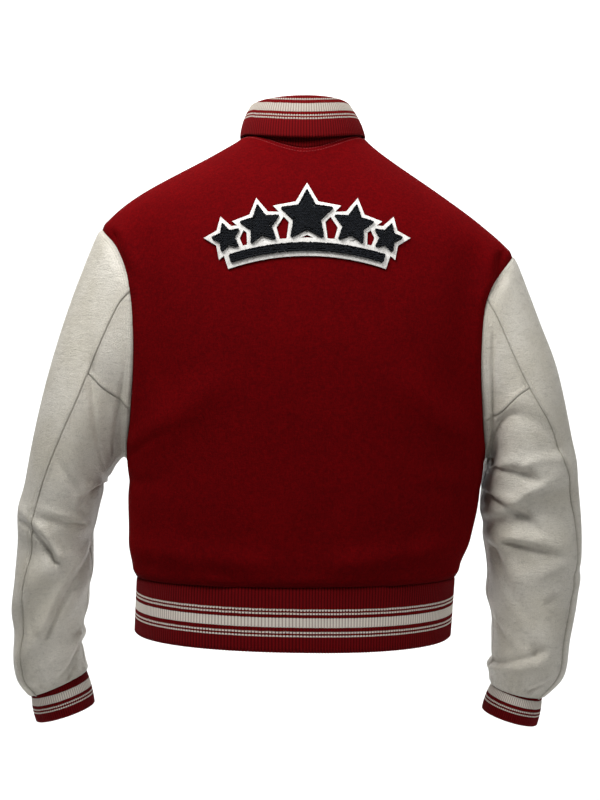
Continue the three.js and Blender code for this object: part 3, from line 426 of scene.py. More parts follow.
@dataclass(frozen=True)
class Body:
    """The body's outer surface: at each level a rounded oblong, |x / wide|^n + |y / deep|^n = 1."""

    roundness: float = 2.3
    hem: float = -562.0
    underarm: float = -415.0
    crown: float = 6.0
    lowest_shoulder: float = -160.0
    halvings: int = 40
    levels: tuple[Level, ...] = table(
        Level,
        (0, 58, 62), (-26, 73, 82), (-78, 98, 104), (-117, 112, 112), (-152, 120, 116),
        (-250, 130, 122), (-330, 130, 126), (-415, 127, 128), (-467, 125, 128), (-520, 121, 124),
        (-562, 117, 120),
    )
    left: tuple[Width, ...] = table(
        Width,
        (0, 78), (-26, 123), (-78, 218), (-117, 262), (-150, 275), (-190, 277), (-266, 264),
        (-340, 244), (-390, 231), (-415, 227), (-440, 227), (-467, 228), (-520, 226), (-545, 223),
        (-562, 220),
    )
    right: tuple[Width, ...] = table(
        Width,
        (0, 74), (-26, 105), (-78, 179), (-117, 231), (-152, 267.5), (-185, 281), (-215, 282),
        (-278, 270), (-350, 248), (-395, 233), (-415, 229), (-440, 227), (-467, 224), (-494, 218.5),
        (-520, 210), (-545, 201), (-562, 196.5),
    )
    back_folds: tuple[Fold, ...] = table(
        Fold,
        (196, -150, 184, -300, 26, -5), (-204, -180, -190, -310, 26, -5), (205, -395, 120, -330, 22, 4),
        (-205, -400, -130, -330, 22, 4), (60, -535, 200, -525, 16, 4), (-50, -535, -185, -520, 16, 5),
        (238, -136, 219, -180, 6.5, -6.5, 3.2, -2), (-244, -164, -229, -218, 7, -7, -3.4, 2),
        (208, -402, 150, -372, 8, -2.0, 1.0, 4), (216, -440, 168, -430, 9, -1.8, 1.2, -4),
        (-212, -408, -158, -378, 8, -2.0, -1.0, -4), (-208, -452, -150, -446, 9, -2.2, -1.4, 5),
        (-30, -470, 36, -545, 14, -1.2, 0.8), (90, -552, 150, -500, 10, -1.6, 1.2, 6),
        (-96, -552, -140, -498, 10, -1.8, -1.2, -6), (0, -300, 10, -420, 20, -1.0),
    )
    front_folds: tuple[Fold, ...] = table(
        Fold,
        (196, -160, 184, -300, 26, -4), (-200, -190, -188, -310, 26, -4), (205, -395, 120, -340, 22, 4),
        (-205, -400, -125, -345, 22, 4), (75, -530, 200, -528, 16, 4), (-75, -530, -185, -522, 16, 4),
        (236, -138, 218, -188, 7, -6, 3, -2), (-244, -168, -226, -226, 7, -6, -3, 2),
        (210, -404, 146, -368, 8, -2, 1.0, 5), (-212, -412, -150, -380, 8, -2, -1.0, -5),
        (118, -552, 160, -494, 10, -1.6, 1.2, 5), (-104, -552, -150, -500, 10, -1.6, -1.2, -5),
        (60, -470, 150, -458, 14, -1.2, 0.9, 5), (-60, -478, -146, -462, 14, -1.2, -0.9, -5),
    )

    def section(self, angle: Array, z: Array) -> tuple[Array, Array]:
        """Half width and half depth of the oblong at an angle and a level."""
        on_left, on_back = np.cos(angle) >= 0, np.sin(angle) >= 0
        wide = np.where(on_left, column(self.left, "z", "wide", z), column(self.right, "z", "wide", z))
        deep = np.where(on_back, column(self.levels, "z", "back", z), column(self.levels, "z", "front", z))
        return wide, deep

    def oblong(self, angle: Array, z: Array, wide: Array, deep: Array, out: Callable) -> Array:
        """Points of an oblong, moved outwards.

        Args:
            angle: Angles of the points.
            z: Levels of the points.
            wide: Half widths of the oblong.
            deep: Half depths of the oblong.
            out: How far a point moves, from its x.

        Returns:
            The points.
        """
        c, s = np.cos(angle), np.sin(angle)
        size = (np.abs(c) ** self.roundness + np.abs(s) ** self.roundness) ** (1 / self.roundness)
        z = np.broadcast_to(z, np.shape(size))
        point = np.stack([wide * c / size, deep * s / size, z], -1)
        outwards = unit(np.stack([c / wide, s / deep, np.zeros_like(size)], -1))
        return point + outwards * np.asarray(out(point[..., 0]))[..., None]

    def relief(self, x: Array, z: Array, face: Face) -> Array:
        """Height of the folds over a place seen square on: the sum of the folds there."""
        folds = self.back_folds if face is Face.BACK else self.front_folds
        return sum(fold.height(x, z) for fold in folds)

    def point(self, angle: Array, z: Array) -> Array:
        """Point of the surface at an angle from the wearer's left round by the back."""
        angle, z = np.broadcast_arrays(angle, z)
        wide, deep = self.section(angle, z)
        back = np.sin(angle) >= 0
        return self.oblong(
            angle, z, wide, deep,
            lambda x: np.where(back, self.relief(x, z, Face.BACK), self.relief(x, z, Face.FRONT)),
        )

    def normal(self, angle: Array, z: Array) -> Array:
        """Outward direction: the step along the angle crossed with the step upwards."""
        across = self.point(angle + TURN_STEP, z) - self.point(angle - TURN_STEP, z)
        return unit(np.cross(across, self.point(angle, z + LEVEL_STEP) - self.point(angle, z - LEVEL_STEP)))

    def angle_of(self, x: Array, y: Array, z: Array) -> Array:
        """Angle of a point of the surface, from 0 to a full turn."""
        wide, deep = self.section(np.arctan2(y, x), z)
        return np.mod(np.arctan2(y / deep, x / wide), 2 * np.pi)

    def shoulder_height(self, x: Array, y: Array) -> Array:
        """Height of the shoulders over a place in plan, by halving the span that holds it.

        Args:
            x: The places' x.
            y: Their y.

        Returns:
            The highest levels whose oblong still reaches the places.
        """
        low, high = np.full(np.shape(x), self.lowest_shoulder), np.full(np.shape(x), self.crown)
        for _ in range(self.halvings):
            middle = (low + high) / 2
            wide, deep = self.section(np.arctan2(y, x), middle)
            outside = np.abs(x / wide) ** self.roundness + np.abs(y / deep) ** self.roundness > 1
            low, high = np.where(outside, low, middle), np.where(outside, middle, high)
        return low

    def back_point(self, x: Array, z: Array) -> Array:
        """Point of the back over a place seen square on."""
        wide, deep = self.section(np.arctan2(1.0, x), z)
        y = deep * (1 - np.abs(x / wide) ** self.roundness) ** (1 / self.roundness)
        return np.stack([x, y + self.relief(x, z, Face.BACK), z], -1)

    def back_normal(self, x: Array, z: Array) -> Array:
        """Outward direction of the back over a place seen square on."""
        across = self.back_point(x + LEVEL_STEP, z) - self.back_point(x - LEVEL_STEP, z)
        up = self.back_point(x, z + LEVEL_STEP) - self.back_point(x, z - LEVEL_STEP)
        return unit(np.cross(up, across))


@dataclass(frozen=True)
class Armhole:
    """The seam between the body and a sleeve.

    A ring angle of 0 is the shoulder's tip, 90 degrees the back and 180 degrees the underarm.
    """

    body: Body
    side: Side
    gap: float = 0.3
    left_tip: float = -117.0
    right_tip: float = -152.0
    edges: tuple[Edge, ...] = table(
        Edge,
        (0, 262, 267.5), (0.1, 238, 247), (0.25, 219, 224.5), (0.5, 212.5, 217.6), (0.75, 217, 221),
        (1, 227, 229),
    )

    @property
    def top(self) -> float:
        """Level of the shoulder's tip."""
        return self.left_tip if self.side is Side.LEFT else self.right_tip

    def seam(self, ring_angle: Array) -> Array:
        """Points of the seam: its x comes from the table, and its y puts it on the oblong."""
        down = (1 - np.cos(ring_angle)) / 2
        z = lerp(self.top, self.body.underarm, down)
        x = column(self.edges, "down", self.side.word, down)
        way = np.where(np.sin(ring_angle) >= 0, 1.0, -1.0)
        wide, deep = self.body.section(np.arctan2(way, self.side.value), z)
        n = self.body.roundness
        y = way * deep * np.maximum(1 - (x / wide) ** n, 0) ** (1 / n)
        return np.stack([self.side.value * x, y, z], -1)

    def spot(self, ring_angle: Array) -> tuple[Array, Array]:
        """Angle and level of the seam on the body's surface."""
        x, y, z = np.moveaxis(self.seam(ring_angle), -1, 0)
        end = 0.0 if self.side is Side.LEFT else np.pi
        return np.where(np.abs(np.sin(ring_angle)) < TINY, end, self.body.angle_of(x, y, z)), z

    def rim(self, ring_angle: Array) -> Array:
        """Points a seam's gap off the panel's edge, on the body's surface."""
        step = 2 * TURN_STEP
        before, here, after = (self.spot(ring_angle + turn) for turn in (-step, 0, step))
        along = self.body.point(*after) - self.body.point(*before)
        away = unit(np.cross(self.body.normal(*here), along))
        return self.body.point(*here) - self.side.value * away * self.gap


@dataclass(frozen=True)
class Neck:
    """The neck seam, half an oval in plan behind the shoulders and half before them."""

    body: Body
    left: float = 78.0
    right: float = 74.0
    back: float = 72.0
    front: float = 105.0

    def spot(self, plan: Array) -> tuple[Array, Array]:
        """Angle and level on the body's surface of the seam at a plan angle."""
        c, s = np.cos(plan), np.sin(plan)
        x = c * np.where(c >= 0, self.left, self.right)
        y = s * np.where(s >= 0, self.back, self.front)
        z = self.body.shoulder_height(x, y)
        return np.where(np.abs(y) < TINY, plan, self.body.angle_of(x, y, z)), z


@dataclass(frozen=True)
class Lap:
    """The fronts' overlap: the left front is lifted onto the right one near the middle."""

    width: float = 14.0
    lift: float = 3.8
    full_at: float = 42.0
    none_at: float = 77.0

    def height(self, x: Array) -> Array:
        """Lift of the left front at an x."""
        return self.lift * (1 - smoothstep(x, self.full_at, self.none_at))


# Sewn panels


@dataclass
class Panels:
    """The wool back and fronts: rows of spots between two seams, each an angle and a level."""

    body: Body
    neck: Neck
    lap: Lap
    armholes: dict[Side, Armhole]
    thick: float = 2.8
    columns: int = 150
    front_columns: int = 84
    lap_columns: int = 8
    hem_rows: int = 34
    armhole_rows: int = 72
    tip_turn: float = 0.2
    tip_steps: int = 6
    shoulder_rows: int = 38
    seam_dip: float = 1.5
    seam_reach: float = 3.4
    swell: float = 0.5
    swell_place: float = 9.0
    swell_reach: float = 4.0
    past_middle: float = 0.05
    upper_row: int = 36
    tip_rows: int = 14

    def side_levels(self) -> Array:
        """Levels of the rows between the hem and the underarm."""
        return lerp(self.body.hem, self.body.underarm, crowded(self.hem_rows + 1, 0.7, 0)[:-1])

    @staticmethod
    def climb(turn: Array) -> Array:
        """Each row's way from its first level to its last, along half a cosine wave of the turn.

        The wave follows the turn itself, not the place in the row, so no rows cross where they
        start apart.
        """
        wave = (1 - np.cos(np.pi * turn)) / 2
        return (wave - wave[:, :1]) / (wave[:, -1:] - wave[:, :1])

    def turns(self) -> Array:
        """Ring angles of the rows along an armhole, in wider steps near the shoulder tip."""
        below = np.linspace(np.pi, self.tip_turn, self.armhole_rows)
        return np.concatenate([below, np.linspace(self.tip_turn, 0, self.tip_steps + 1)[1:]])

    def back_spots(self) -> tuple[Array, Array]:
        """Angles and levels of the back's grid.

        A row runs from the left seam to the right one, its level along half a cosine wave, and
        above the tips the rows close in evenly on the neck seam.

        Returns:
            Angles and levels, rows by columns.
        """
        share = crowded(self.columns)
        (left, left_z), (right, right_z) = (self.armholes[side].spot(self.turns()) for side in Side)
        levels = self.side_levels()
        start = np.concatenate([np.zeros_like(levels), left])[:, None]
        end = np.concatenate([np.full_like(levels, np.pi), right])[:, None]
        start_z = np.concatenate([levels, left_z])[:, None]
        end_z = np.concatenate([levels, right_z])[:, None]
        angle = lerp(start, end, share)
        z = lerp(start_z, end_z, self.climb(angle / np.pi))
        return self.up_to_neck(angle, z, self.neck.spot(np.pi * share))

    def front_spots(self, side: Side) -> tuple[Array, Array]:
        """Spots of a front's grid, from its side seam to the lap's edge.

        Args:
            side: The front's side.

        Returns:
            Angles and levels, rows by columns.
        """
        hand = side.value
        share = crowded(self.front_columns, 0.6, 0.3)
        past = np.linspace(0, 1, self.lap_columns + 1)[1:]
        side_angle = 2 * np.pi if side is Side.LEFT else np.pi
        angle, level = self.armholes[side].spot(-self.turns())
        angle = np.where(np.abs(np.sin(angle)) < TINY, side_angle, angle)
        levels = self.side_levels()
        start = np.concatenate([np.full_like(levels, side_angle), angle])[:, None]
        start_z = np.concatenate([levels, level])[:, None]
        own, other = self.armholes[side], self.armholes[Side(-hand)]
        up = np.clip((start_z - self.body.underarm) / (own.top - self.body.underarm), 0, 1)
        centre = start_z + up * (other.top - own.top) / 2
        wide = self.body.section(MIDDLE_FRONT - hand * self.past_middle, centre)[0]
        turn = lerp(start, MIDDLE_FRONT, share)
        way = self.climb((turn - side_angle) / (MIDDLE_FRONT - side_angle))
        over = MIDDLE_FRONT - hand * np.arcsin(self.lap.width / wide) * past
        angles = np.concatenate([turn, over], 1)
        z = np.concatenate([lerp(start_z, centre, way), np.repeat(centre, len(past), 1)], 1)
        reach = self.neck.right if side is Side.LEFT else self.neck.left
        plan_over = MIDDLE_FRONT - hand * np.arcsin(self.lap.width / reach) * past
        plan = np.concatenate([lerp(side_angle, MIDDLE_FRONT, share), plan_over])
        neck_angle, neck_z = self.neck.spot(plan)
        neck_angle[0] = side_angle
        return self.up_to_neck(angles, z, (neck_angle, neck_z))

    def up_to_neck(self, angle: Array, z: Array, neck: tuple[Array, Array]) -> tuple[Array, Array]:
        """Adds the rows from the shoulder tips to the neck seam."""
        share = crowded(self.shoulder_rows + 1, 0, 0.7)[1:, None]
        rows = [np.concatenate([grid, lerp(grid[-1], seam, share)]) for grid, seam in zip((angle, z), neck)]
        return rows[0], rows[1]

    def armhole_distance(self, points: Array) -> Array:
        """Distance of points from the upper armholes, and infinity on the rows that are well off.

        Rows above a shoulder tip end on the shoulder seam, so a distance along the row misses the
        armhole just below. Here the nearest spot on each step of the edge is found by projection.

        Args:
            points: The panel's grid.

        Returns:
            A distance for each grid point.
        """
        tip = self.hem_rows + self.armhole_rows + self.tip_steps - 1
        rows = slice(self.hem_rows + self.upper_row, tip + self.tip_rows)
        found = np.full(points.shape[:-1], np.inf)
        places = points[rows].reshape(-1, 1, 3)
        for line in (points[rows, 0], points[rows, -1]):
            along = np.diff(line, axis=0)
            away = places - line[:-1]
            share = np.clip(np.sum(away * along, -1) / np.sum(along * along, -1), 0, 1)
            nearest = np.linalg.norm(away - share[..., None] * along, axis=-1).min(1)
            found[rows] = np.minimum(found[rows], nearest.reshape(found[rows].shape))
        return found

    def shell(self, name: str, spots: tuple[Array, Array], lift: Callable[[Array], Array]) -> Shell:
        """A panel's wall on the body's surface, its sewn edges drawn in.

        The surface sinks by dip x bell(distance / reach) along each edge that is sewn, and it
        swells a little beyond.

        Args:
            name: The piece's name.
            spots: Angles and levels of the grid.
            lift: How far the panel is raised at an x.

        Returns:
            The panel's shell.
        """
        points, normals = self.body.point(*spots), self.body.normal(*spots)
        margins = Margins.of(points)
        edge = np.minimum(margins.nearest(), self.armhole_distance(points))
        dip = self.seam_dip * bell(edge, self.seam_reach)
        dip -= self.swell * bell(edge - self.swell_place, self.swell_reach)
        outer = points + normals * (lift(points[..., 0]) - dip)[..., None]
        marks = {"edge": edge, "run": margins.first_row, "across": margins.first_column}
        return Shell(name, outer, outer - normals * self.thick, marks=marks)


class Ring(NamedTuple):
    """A ring round a sleeve: its outermost and innermost spots seen square on and its half depth.

    bow is its share of the armhole's bow, forward how far its middle lies forward, and seam the
    angle of the seam at the back of the arm.
    """

    ring: float
    out_x: float
    out_z: float
    in_x: float
    in_z: float
    deep: float
    bow: float
    forward: float
    seam: float


# Millimetres from ring to ring and for each degree round a ring, by which the folds are laid out.
RING_PITCH = 46.0
RING_ARC = 1.15


def crease(ring: float, angle: float, to_ring: float, to_angle: float, width: float,
           depth: float, lee: float = 0.0, bow: float = 0.0) -> Fold:
    """A fold between two places on a sleeve, each a ring and an angle in degrees."""
    start, end = (ring * RING_PITCH, angle * RING_ARC), (to_ring * RING_PITCH, to_angle * RING_ARC)
    return Fold(*start, *end, width, depth, lee, bow)


RINGS = {
    Side.LEFT: table(
        Ring,
        (0, 262, -117, 227, -415, 80, 1, 0, 65.4), (1, 270, -130, 236, -412, 81, 0.75, 0, 71),
        (2, 293, -188, 246, -422, 84, 0.45, 0, 79), (3, 311, -240, 253, -434, 86, 0.2, 0, 86),
        (4, 329, -300, 260, -443, 85, 0.05, 1, 87), (5, 344, -360, 265, -462, 82, 0, 2, 81),
        (6, 356, -416, 271, -485, 78, 0, 4, 73), (7, 365, -468, 275, -512, 72, 0, 7, 66),
        (8, 373, -525, 280, -545, 68, 0, 11, 64), (9, 378, -580.6, 287, -583, 65, 0, 16, 60),
        (10, 378, -629, 293, -622, 62, 0, 21, 58), (11, 382, -667, 296, -653, 60, 0, 26, 58),
        (12, 379, -704, 292.5, -680, 54, 0, 31, 57), (13, 364, -728, 289, -697, 44, 0, 34, 54),
    ),
    Side.RIGHT: table(
        Ring,
        (0, 267.5, -152, 229, -415, 80, 1, 0, 58), (1, 274, -164, 238, -411, 81, 0.75, 0, 67),
        (2, 288, -200, 240, -416, 84, 0.45, 0, 75), (3, 303, -240, 236, -428, 86, 0.2, 0, 77),
        (4, 322, -290, 231.5, -445, 85, 0.05, 0, 73), (5, 335.5, -345, 229.5, -466, 82, 0, 1, 62),
        (6, 346, -400, 229, -488, 78, 0, 3, 54), (7, 354, -450, 232, -512, 72, 0, 5, 43),
        (8, 358.5, -505, 237, -540, 68, 0, 8, 42), (9, 357.5, -555, 241, -575, 65, 0, 10, 44),
        (10, 353.5, -602, 244.5, -610, 62, 0, 13, 46), (11, 345.5, -648, 248, -645, 60, 0, 15, 50),
        (12, 338, -697, 243, -683, 54, 0, 18, 52), (13, 313, -725, 244, -711, 44, 0, 20, 50),
    ),
}

# Each sleeve's folds; the rows with a lee are sharp creases.
SLEEVE_FOLDS = {
    Side.LEFT: table(
        crease,
        (0.4, 145, 2, 98, 18, -4), (7.2, 20, 7.6, 130, 21, 5), (7.9, 60, 7.3, 160, 19, -6),
        (9.6, 25, 8.2, 100, 21, 5), (8.6, 175, 11, 60, 23, 5), (11, 160, 11.9, 70, 20, 4),
        (7.6, -40, 7, -140, 20, -5), (9.6, -170, 8.4, -70, 22, 5), (11.6, -40, 11, -140, 21, 5),
        (4.3, 170, 5.95, 137, 5.5, -8, 4.6, 5), (5.9, 138, 6.35, 158, 6, -3, 1),
        (8.05, 107, 7.35, 30, 5, -8, 4.6, 13), (10.2, 105, 7.6, 180, 7.5, -8, -4.6, -8),
        (10.85, 176, 12.2, 122, 6, -7, 4, -3), (6.6, 146, 7.1, 62, 6, -3.4, 2.6),
        (2.3, 86, 2.8, 142, 9, -2.6), (1.6, 148, 0.7, 110, 7, -3.6, -1.6),
        (9.1, 72, 10.2, 80, 6, -2, 1.4, 4), (12.4, 80, 11.4, 92, 6, -2.6, 1.6),
        (12.6, 128, 11.9, 150, 6, -3, 1.6), (5.1, 96, 5.5, 150, 9, -1.4),
        (4.4, -168, 5.9, -132, 7, -5, -4, -5), (7.2, -20, 8.1, -104, 7, -4.5, 3.5, 9),
        (8.4, -146, 10.4, -100, 9, -5, -3.5), (11.0, -176, 12.0, -112, 8, -5, -3),
        (2.0, -100, 0.2, -146, 7, -2.6, -1.6), (12.4, -70, 11.4, -84, 7, -2.2, 1.6),
    ),
    Side.RIGHT: table(
        crease,
        (6.4, 150, 7, 60, 20, -6), (6, 130, 6.2, 45, 21, 5), (7.2, 140, 8.1, 70, 21, 5),
        (8.7, 135, 8.8, 55, 20, 4), (9.6, 130, 10.9, 80, 22, 5), (11.6, 140, 11.7, 60, 20, 4),
        (7.2, -50, 6.6, -150, 20, -5), (9.4, -165, 8.4, -70, 22, 5), (11.4, -45, 11, -140, 21, 5),
        (0.75, 86, 0.95, 156, 8, -4), (0.5, 150, 5.4, 60, 6, -4.5, 2), (2.5, 190, 3.4, 150, 8, -8, 2),
        (2.95, 168, 5.8, 91, 5.5, -9, 5), (5.0, 100, 5.75, 62, 7, 2.6),
        (4.6, 188, 4.95, 156, 8, -8, 1.4), (4.95, 160, 7.35, 96, 5.5, -9.5, 4.6, 3),
        (6.15, 105, 6.85, 56, 6, -2.6, 1.4), (7.5, 130, 8.3, 78, 5, -6.5, 3.4),
        (7.75, 155, 10.2, 104, 10, -7, 3.6, -7), (8.9, 84, 8.75, 50, 5, -2, 1),
        (9.65, 82, 9.3, 52, 5, -1.8, 0.9), (11.85, 172, 11.2, 88, 6.5, -7.5, -4.4, -4),
        (11.3, 95, 10.7, 101, 6, -3.4, 2), (10.5, 167, 11.3, 130, 6, -4, 2.4),
        (9.1, 64, 8.95, 0, 8, -3, -2), (12.5, 84, 11.9, 60, 6, -2.4, 1.4),
        (3.4, -150, 5.8, -92, 7, -5, -3.5), (5.4, -136, 7.3, -98, 7, -4.5, -3),
        (9.0, -140, 10.3, -100, 8, -5, -3), (11.8, -168, 11.5, -92, 8, -5, 3.5),
        (1.1, -142, 4.9, -66, 12, -2.4, -1.6),
    ),
}


@dataclass(frozen=True)
class Trim:
    """How a leather edge is finished: how deep it dips, over what reach, and how it is lapped.

    A lapped edge is raised by lapped up to lap_start and not at all from lap_end on, the share
    of the dip that spared names is left out there, and a groove runs under its stitches.
    """

    dip: float = 1.3
    reach: float = 1.8
    lapped: float = 0.8
    lap_start: float = 6.0
    lap_end: float = 9.5
    spared: float = 0.75
    stitch_line: float = 6.0
    groove: float = 0.5
    groove_reach: float = 1.3
    no_lap: float = 100.0


@dataclass
class Sleeve:
    """A leather sleeve of three pieces: top, under, and a gusset behind the armhole."""

    side: Side
    armhole: Armhole
    cross_ring: float
    cross_angle: float
    thick: float = 2.2
    trim: Trim = Trim()
    gusset_end: float = 0.985
    cross_power: float = 2.4
    depth_power: float = 0.9
    hem_wave: float = 0.7
    hem_waves: int = 21
    hem_place: float = 0.25
    hem_reach: float = 0.45
    upper_rows: int = 64
    lower_rows: int = 168
    top_columns: int = 108
    under_columns: int = 64
    gusset_columns: int = 36

    def at(self, name: str, ring: Array) -> Array:
        """Value of a ring table's column at a ring."""
        return column(RINGS[self.side], "ring", name, ring)

    def centre(self, ring: Array) -> Array:
        """Middle of a ring."""
        x = self.side.value * (self.at("in_x", ring) + self.at("out_x", ring)) / 2
        z = (self.at("in_z", ring) + self.at("out_z", ring)) / 2
        return np.stack([x, -self.at("forward", ring), z], -1)

    def relief(self, ring: Array, angle: Array) -> Array:
        """Height of the folds, which fade out at the armhole, and of the waves above the hem.

        Each fold is counted a full turn before and after too, so that it runs on round the ring.

        Args:
            ring: Rings of the places.
            angle: Their angles.

        Returns:
            The heights.
        """
        turn, round_it = np.degrees(angle) * RING_ARC, 360 * RING_ARC
        folds = sum(
            fold.height(ring * RING_PITCH, turn + shift)
            for fold in SLEEVE_FOLDS[self.side] for shift in (-round_it, 0, round_it)
        )
        last = RINGS[self.side][-1].ring
        gathers = self.hem_wave * np.sin(self.hem_waves * angle + 2 * np.sin(3 * angle))
        return smoothstep(ring, 0, 1) * folds + gathers * bell(ring - last + self.hem_place, self.hem_reach)

    def point(self, ring: Array, angle: Array) -> Array:
        """Points of the sleeve's outer surface.

        Seen square on, a ring is the line from its innermost to its outermost spot, bent by its
        share of the armhole's bow, and its depth follows the sine of the angle. Near the
        armhole the points are drawn onto the body's rim.

        Args:
            ring: Rings of the points.
            angle: Their angles.

        Returns:
            The points.
        """
        ring, angle = np.broadcast_arrays(ring, angle)
        first = RINGS[self.side][0]
        share = (1 + np.cos(angle)) / 2
        seam = self.armhole.seam(angle)
        bow = self.at("bow", ring)
        chord = lerp(first.in_x, first.out_x, share)
        x = lerp(self.at("in_x", ring), self.at("out_x", ring), share) + bow * (np.abs(seam[..., 0]) - chord)
        z = lerp(self.at("in_z", ring), self.at("out_z", ring), share)
        sine = np.sin(angle)
        deep = self.at("deep", ring) * np.sign(sine) * np.abs(sine) ** self.depth_power
        y = lerp(deep, seam[..., 1], bow)
        point = np.stack([self.side.value * x, y - self.at("forward", ring), z], -1)
        outwards = unit(point - self.centre(ring))
        to_rim = (self.armhole.rim(angle) - seam) * (1 - smoothstep(ring, 0, 1))[..., None]
        return point + outwards * self.relief(ring, angle)[..., None] + to_rim

    def cross(self, ring: Array) -> Array:
        """Angle of the cross seam, which runs from the armhole to the back seam."""
        meeting = self.at("seam", np.array(self.cross_ring))
        return lerp(self.cross_angle, meeting, (ring / self.cross_ring) ** self.cross_power)

    def shell(self, name: str, rings: Array, start: Array, end: Array, shares: Array,
              lapped: bool = False) -> Shell:
        """One leather piece between two lines of angles, its edges drawn in.

        Args:
            name: The piece's name.
            rings: The rings of its rows.
            start: Angle of its first edge at each ring, in degrees.
            end: Angle of its last edge at each ring, in degrees.
            shares: Places of its columns between the two.
            lapped: Whether its last edge lies on the next piece and is topstitched.

        Returns:
            The piece's shell.
        """
        angle = np.radians(lerp(start[:, None], end[:, None], shares))
        ring = np.broadcast_to(rings[:, None], angle.shape)
        points = self.point(ring, angle)
        middle = self.centre(rings)[:, None]
        normals = grid_normals(points, middle)
        margins = Margins.of(points)
        trim = self.trim
        edge = margins.nearest()
        lift = -trim.dip * bell(edge, trim.reach)
        lap = margins.last_column if lapped else np.full_like(edge, trim.no_lap)
        if lapped:
            lift += trim.lapped * (1 - smoothstep(lap, trim.lap_start, trim.lap_end))
            lift += trim.dip * trim.spared * bell(lap, trim.reach)
            lift -= trim.groove * bell(lap - trim.stitch_line, trim.groove_reach)
        outer = points + normals * lift[..., None]
        marks = {"edge": edge, "run": margins.first_row, "lap": lap}
        return Shell(name, outer, outer - normals * self.thick, marks=marks)

    def shells(self) -> dict[str, Shell]:
        """The sleeve's pieces by node, the top and the gusset lapped over the under piece."""
        last = float(RINGS[self.side][-1].ring)
        word = f"sleeve_{self.side.word}"
        upper = self.cross_ring * crowded(self.upper_rows, 0.7, 0.2)
        lower = lerp(self.cross_ring, last, crowded(self.lower_rows, 0.0, 0.6))[1:]
        rings = np.concatenate([upper, lower])
        seam = self.at("seam", rings)
        under = np.where(rings < self.cross_ring, self.cross(rings), seam)
        short = upper * self.gusset_end
        inside = np.full_like(rings, 180.0)
        cuts = {
            "top": (rings, -inside, seam, crowded(self.top_columns, 0.4, 0.75), True),
            "under": (rings, under, inside, crowded(self.under_columns, 0.6, 0.4)),
            "gusset": (short, self.at("seam", short), self.cross(short), crowded(self.gusset_columns), True),
        }
        return {f"{word}_{cut}": self.shell(f"{word}_{cut}_leather", *lines) for cut, lines in cuts.items()}


# Where each sleeve's cross seam meets its back seam, as a ring, and its angle at the armhole.
CROSS_SEAMS = {Side.LEFT: (2.4, 123), Side.RIGHT: (3.3, 127)}


# Rib knit


@dataclass(frozen=True)
class Ribbing:
    """Ribs of a knit, with a crest at each whole number along it."""

    thick: float = 2.6
    height: float = 0.7
    fineness: int = 4
    crest_power: float = 0.6
    mean: float = 0.5
    chart_scale: float = 100.0

    def places(self, ribs: int, closed: bool) -> Array:
        """Places of a grid's columns, counted in ribs."""
        count = ribs * self.fineness
        return np.arange(count if closed else count + 1) / self.fineness

    def relief(self, places: Array) -> Array:
        """Height over the mean surface: height x (|cos(pi place)|^crest_power - mean)."""
        return self.height * (np.abs(np.cos(np.pi * places)) ** self.crest_power - self.mean)

    def chart(self, places: Array, drop: Array, closed: bool) -> Array:
        """Map of the knit: ribs across and millimetres from the free edge, both over a scale.

        Args:
            places: Places of the columns, in ribs.
            drop: Distance of each grid point from the free edge.
            closed: Whether the last column meets the first.

        Returns:
            The map, with one more column than a closed grid.
        """
        if closed:
            drop = np.concatenate([drop, drop[:, :1]], 1)
            places = np.append(places, places[-1] + places[1])
        return np.stack(np.broadcast_arrays(places, drop), -1) / self.chart_scale


@dataclass
class Cuff:
    """A ribbed tube from just inside a sleeve's hem to the wrist."""

    sleeve: Sleeve
    end: Ring
    ribbing: Ribbing
    ribs: int = 84
    rows: int = 18
    inset: float = 2.4
    gap: float = 0.3
    swell: float = 0.8

    def axis(self) -> Array:
        """Direction down the arm, square to the sleeve's last ring."""
        last, hand = RINGS[self.sleeve.side][-1], self.sleeve.side.value
        across = np.array([hand * (last.out_x - last.in_x), 0, last.out_z - last.in_z])
        return -unit(np.cross(across, np.array([0.0, hand, 0.0])))

    def shell(self) -> Shell:
        """The cuff's shell.

        Each ring is an oval whose measures run from the sleeve's last ring to the cuff's end. It
        tucks into the sleeve by inset x (1 - share)^2 and swells by a sine wave between its ends.

        Returns:
            The shell, ribbed on both faces.
        """
        start, hand = RINGS[self.sleeve.side][-1], self.sleeve.side.value
        share = np.linspace(0, 1, self.rows)[:, None]
        ring = Ring(*(lerp(first, last, share) for first, last in zip(start, self.end)))
        places = self.ribbing.places(self.ribs, closed=True)
        angle = 2 * np.pi * places / self.ribs
        flat = np.zeros_like(share)
        centre = np.stack([(ring.out_x + ring.in_x) / 2, -ring.forward, (ring.out_z + ring.in_z) / 2], -1)
        across = np.stack([(ring.out_x - ring.in_x) / 2, flat, (ring.out_z - ring.in_z) / 2], -1)
        spoke = across * np.cos(angle)[:, None]
        spoke[..., 1] += ring.deep * np.sin(angle)
        outwards = unit(spoke)
        swell = self.swell * np.sin(np.pi * share) - self.inset * (1 - share) ** 2
        mirror = np.array([hand, 1.0, 1.0])
        surface = (centre + spoke + outwards * swell[..., None]) * mirror
        surface += self.axis() * (self.gap * (1 - share))[..., None]
        relief = self.ribbing.relief(places)[:, None]
        outwards = outwards * mirror
        margins = Margins.of(surface)
        inner = surface - outwards * (self.ribbing.thick + relief / 2)
        chart = self.ribbing.chart(places, margins.last_row, closed=True)
        name = f"cuff_{self.sleeve.side.word}_knit"
        return Shell(name, surface + outwards * relief, inner, closed=True, knit=chart)


# The cuffs' ends.
WRISTS = {
    Side.LEFT: Ring(14, 357, -763, 281, -741, 38, 0, 40, 0),
    Side.RIGHT: Ring(14, 305, -763, 234, -744, 38, 0, 23, 0),
}


class BandRow(NamedTuple):
    """Half widths and half depths of the waistband at a level."""

    z: float
    left: float
    right: float
    back: float
    front: float


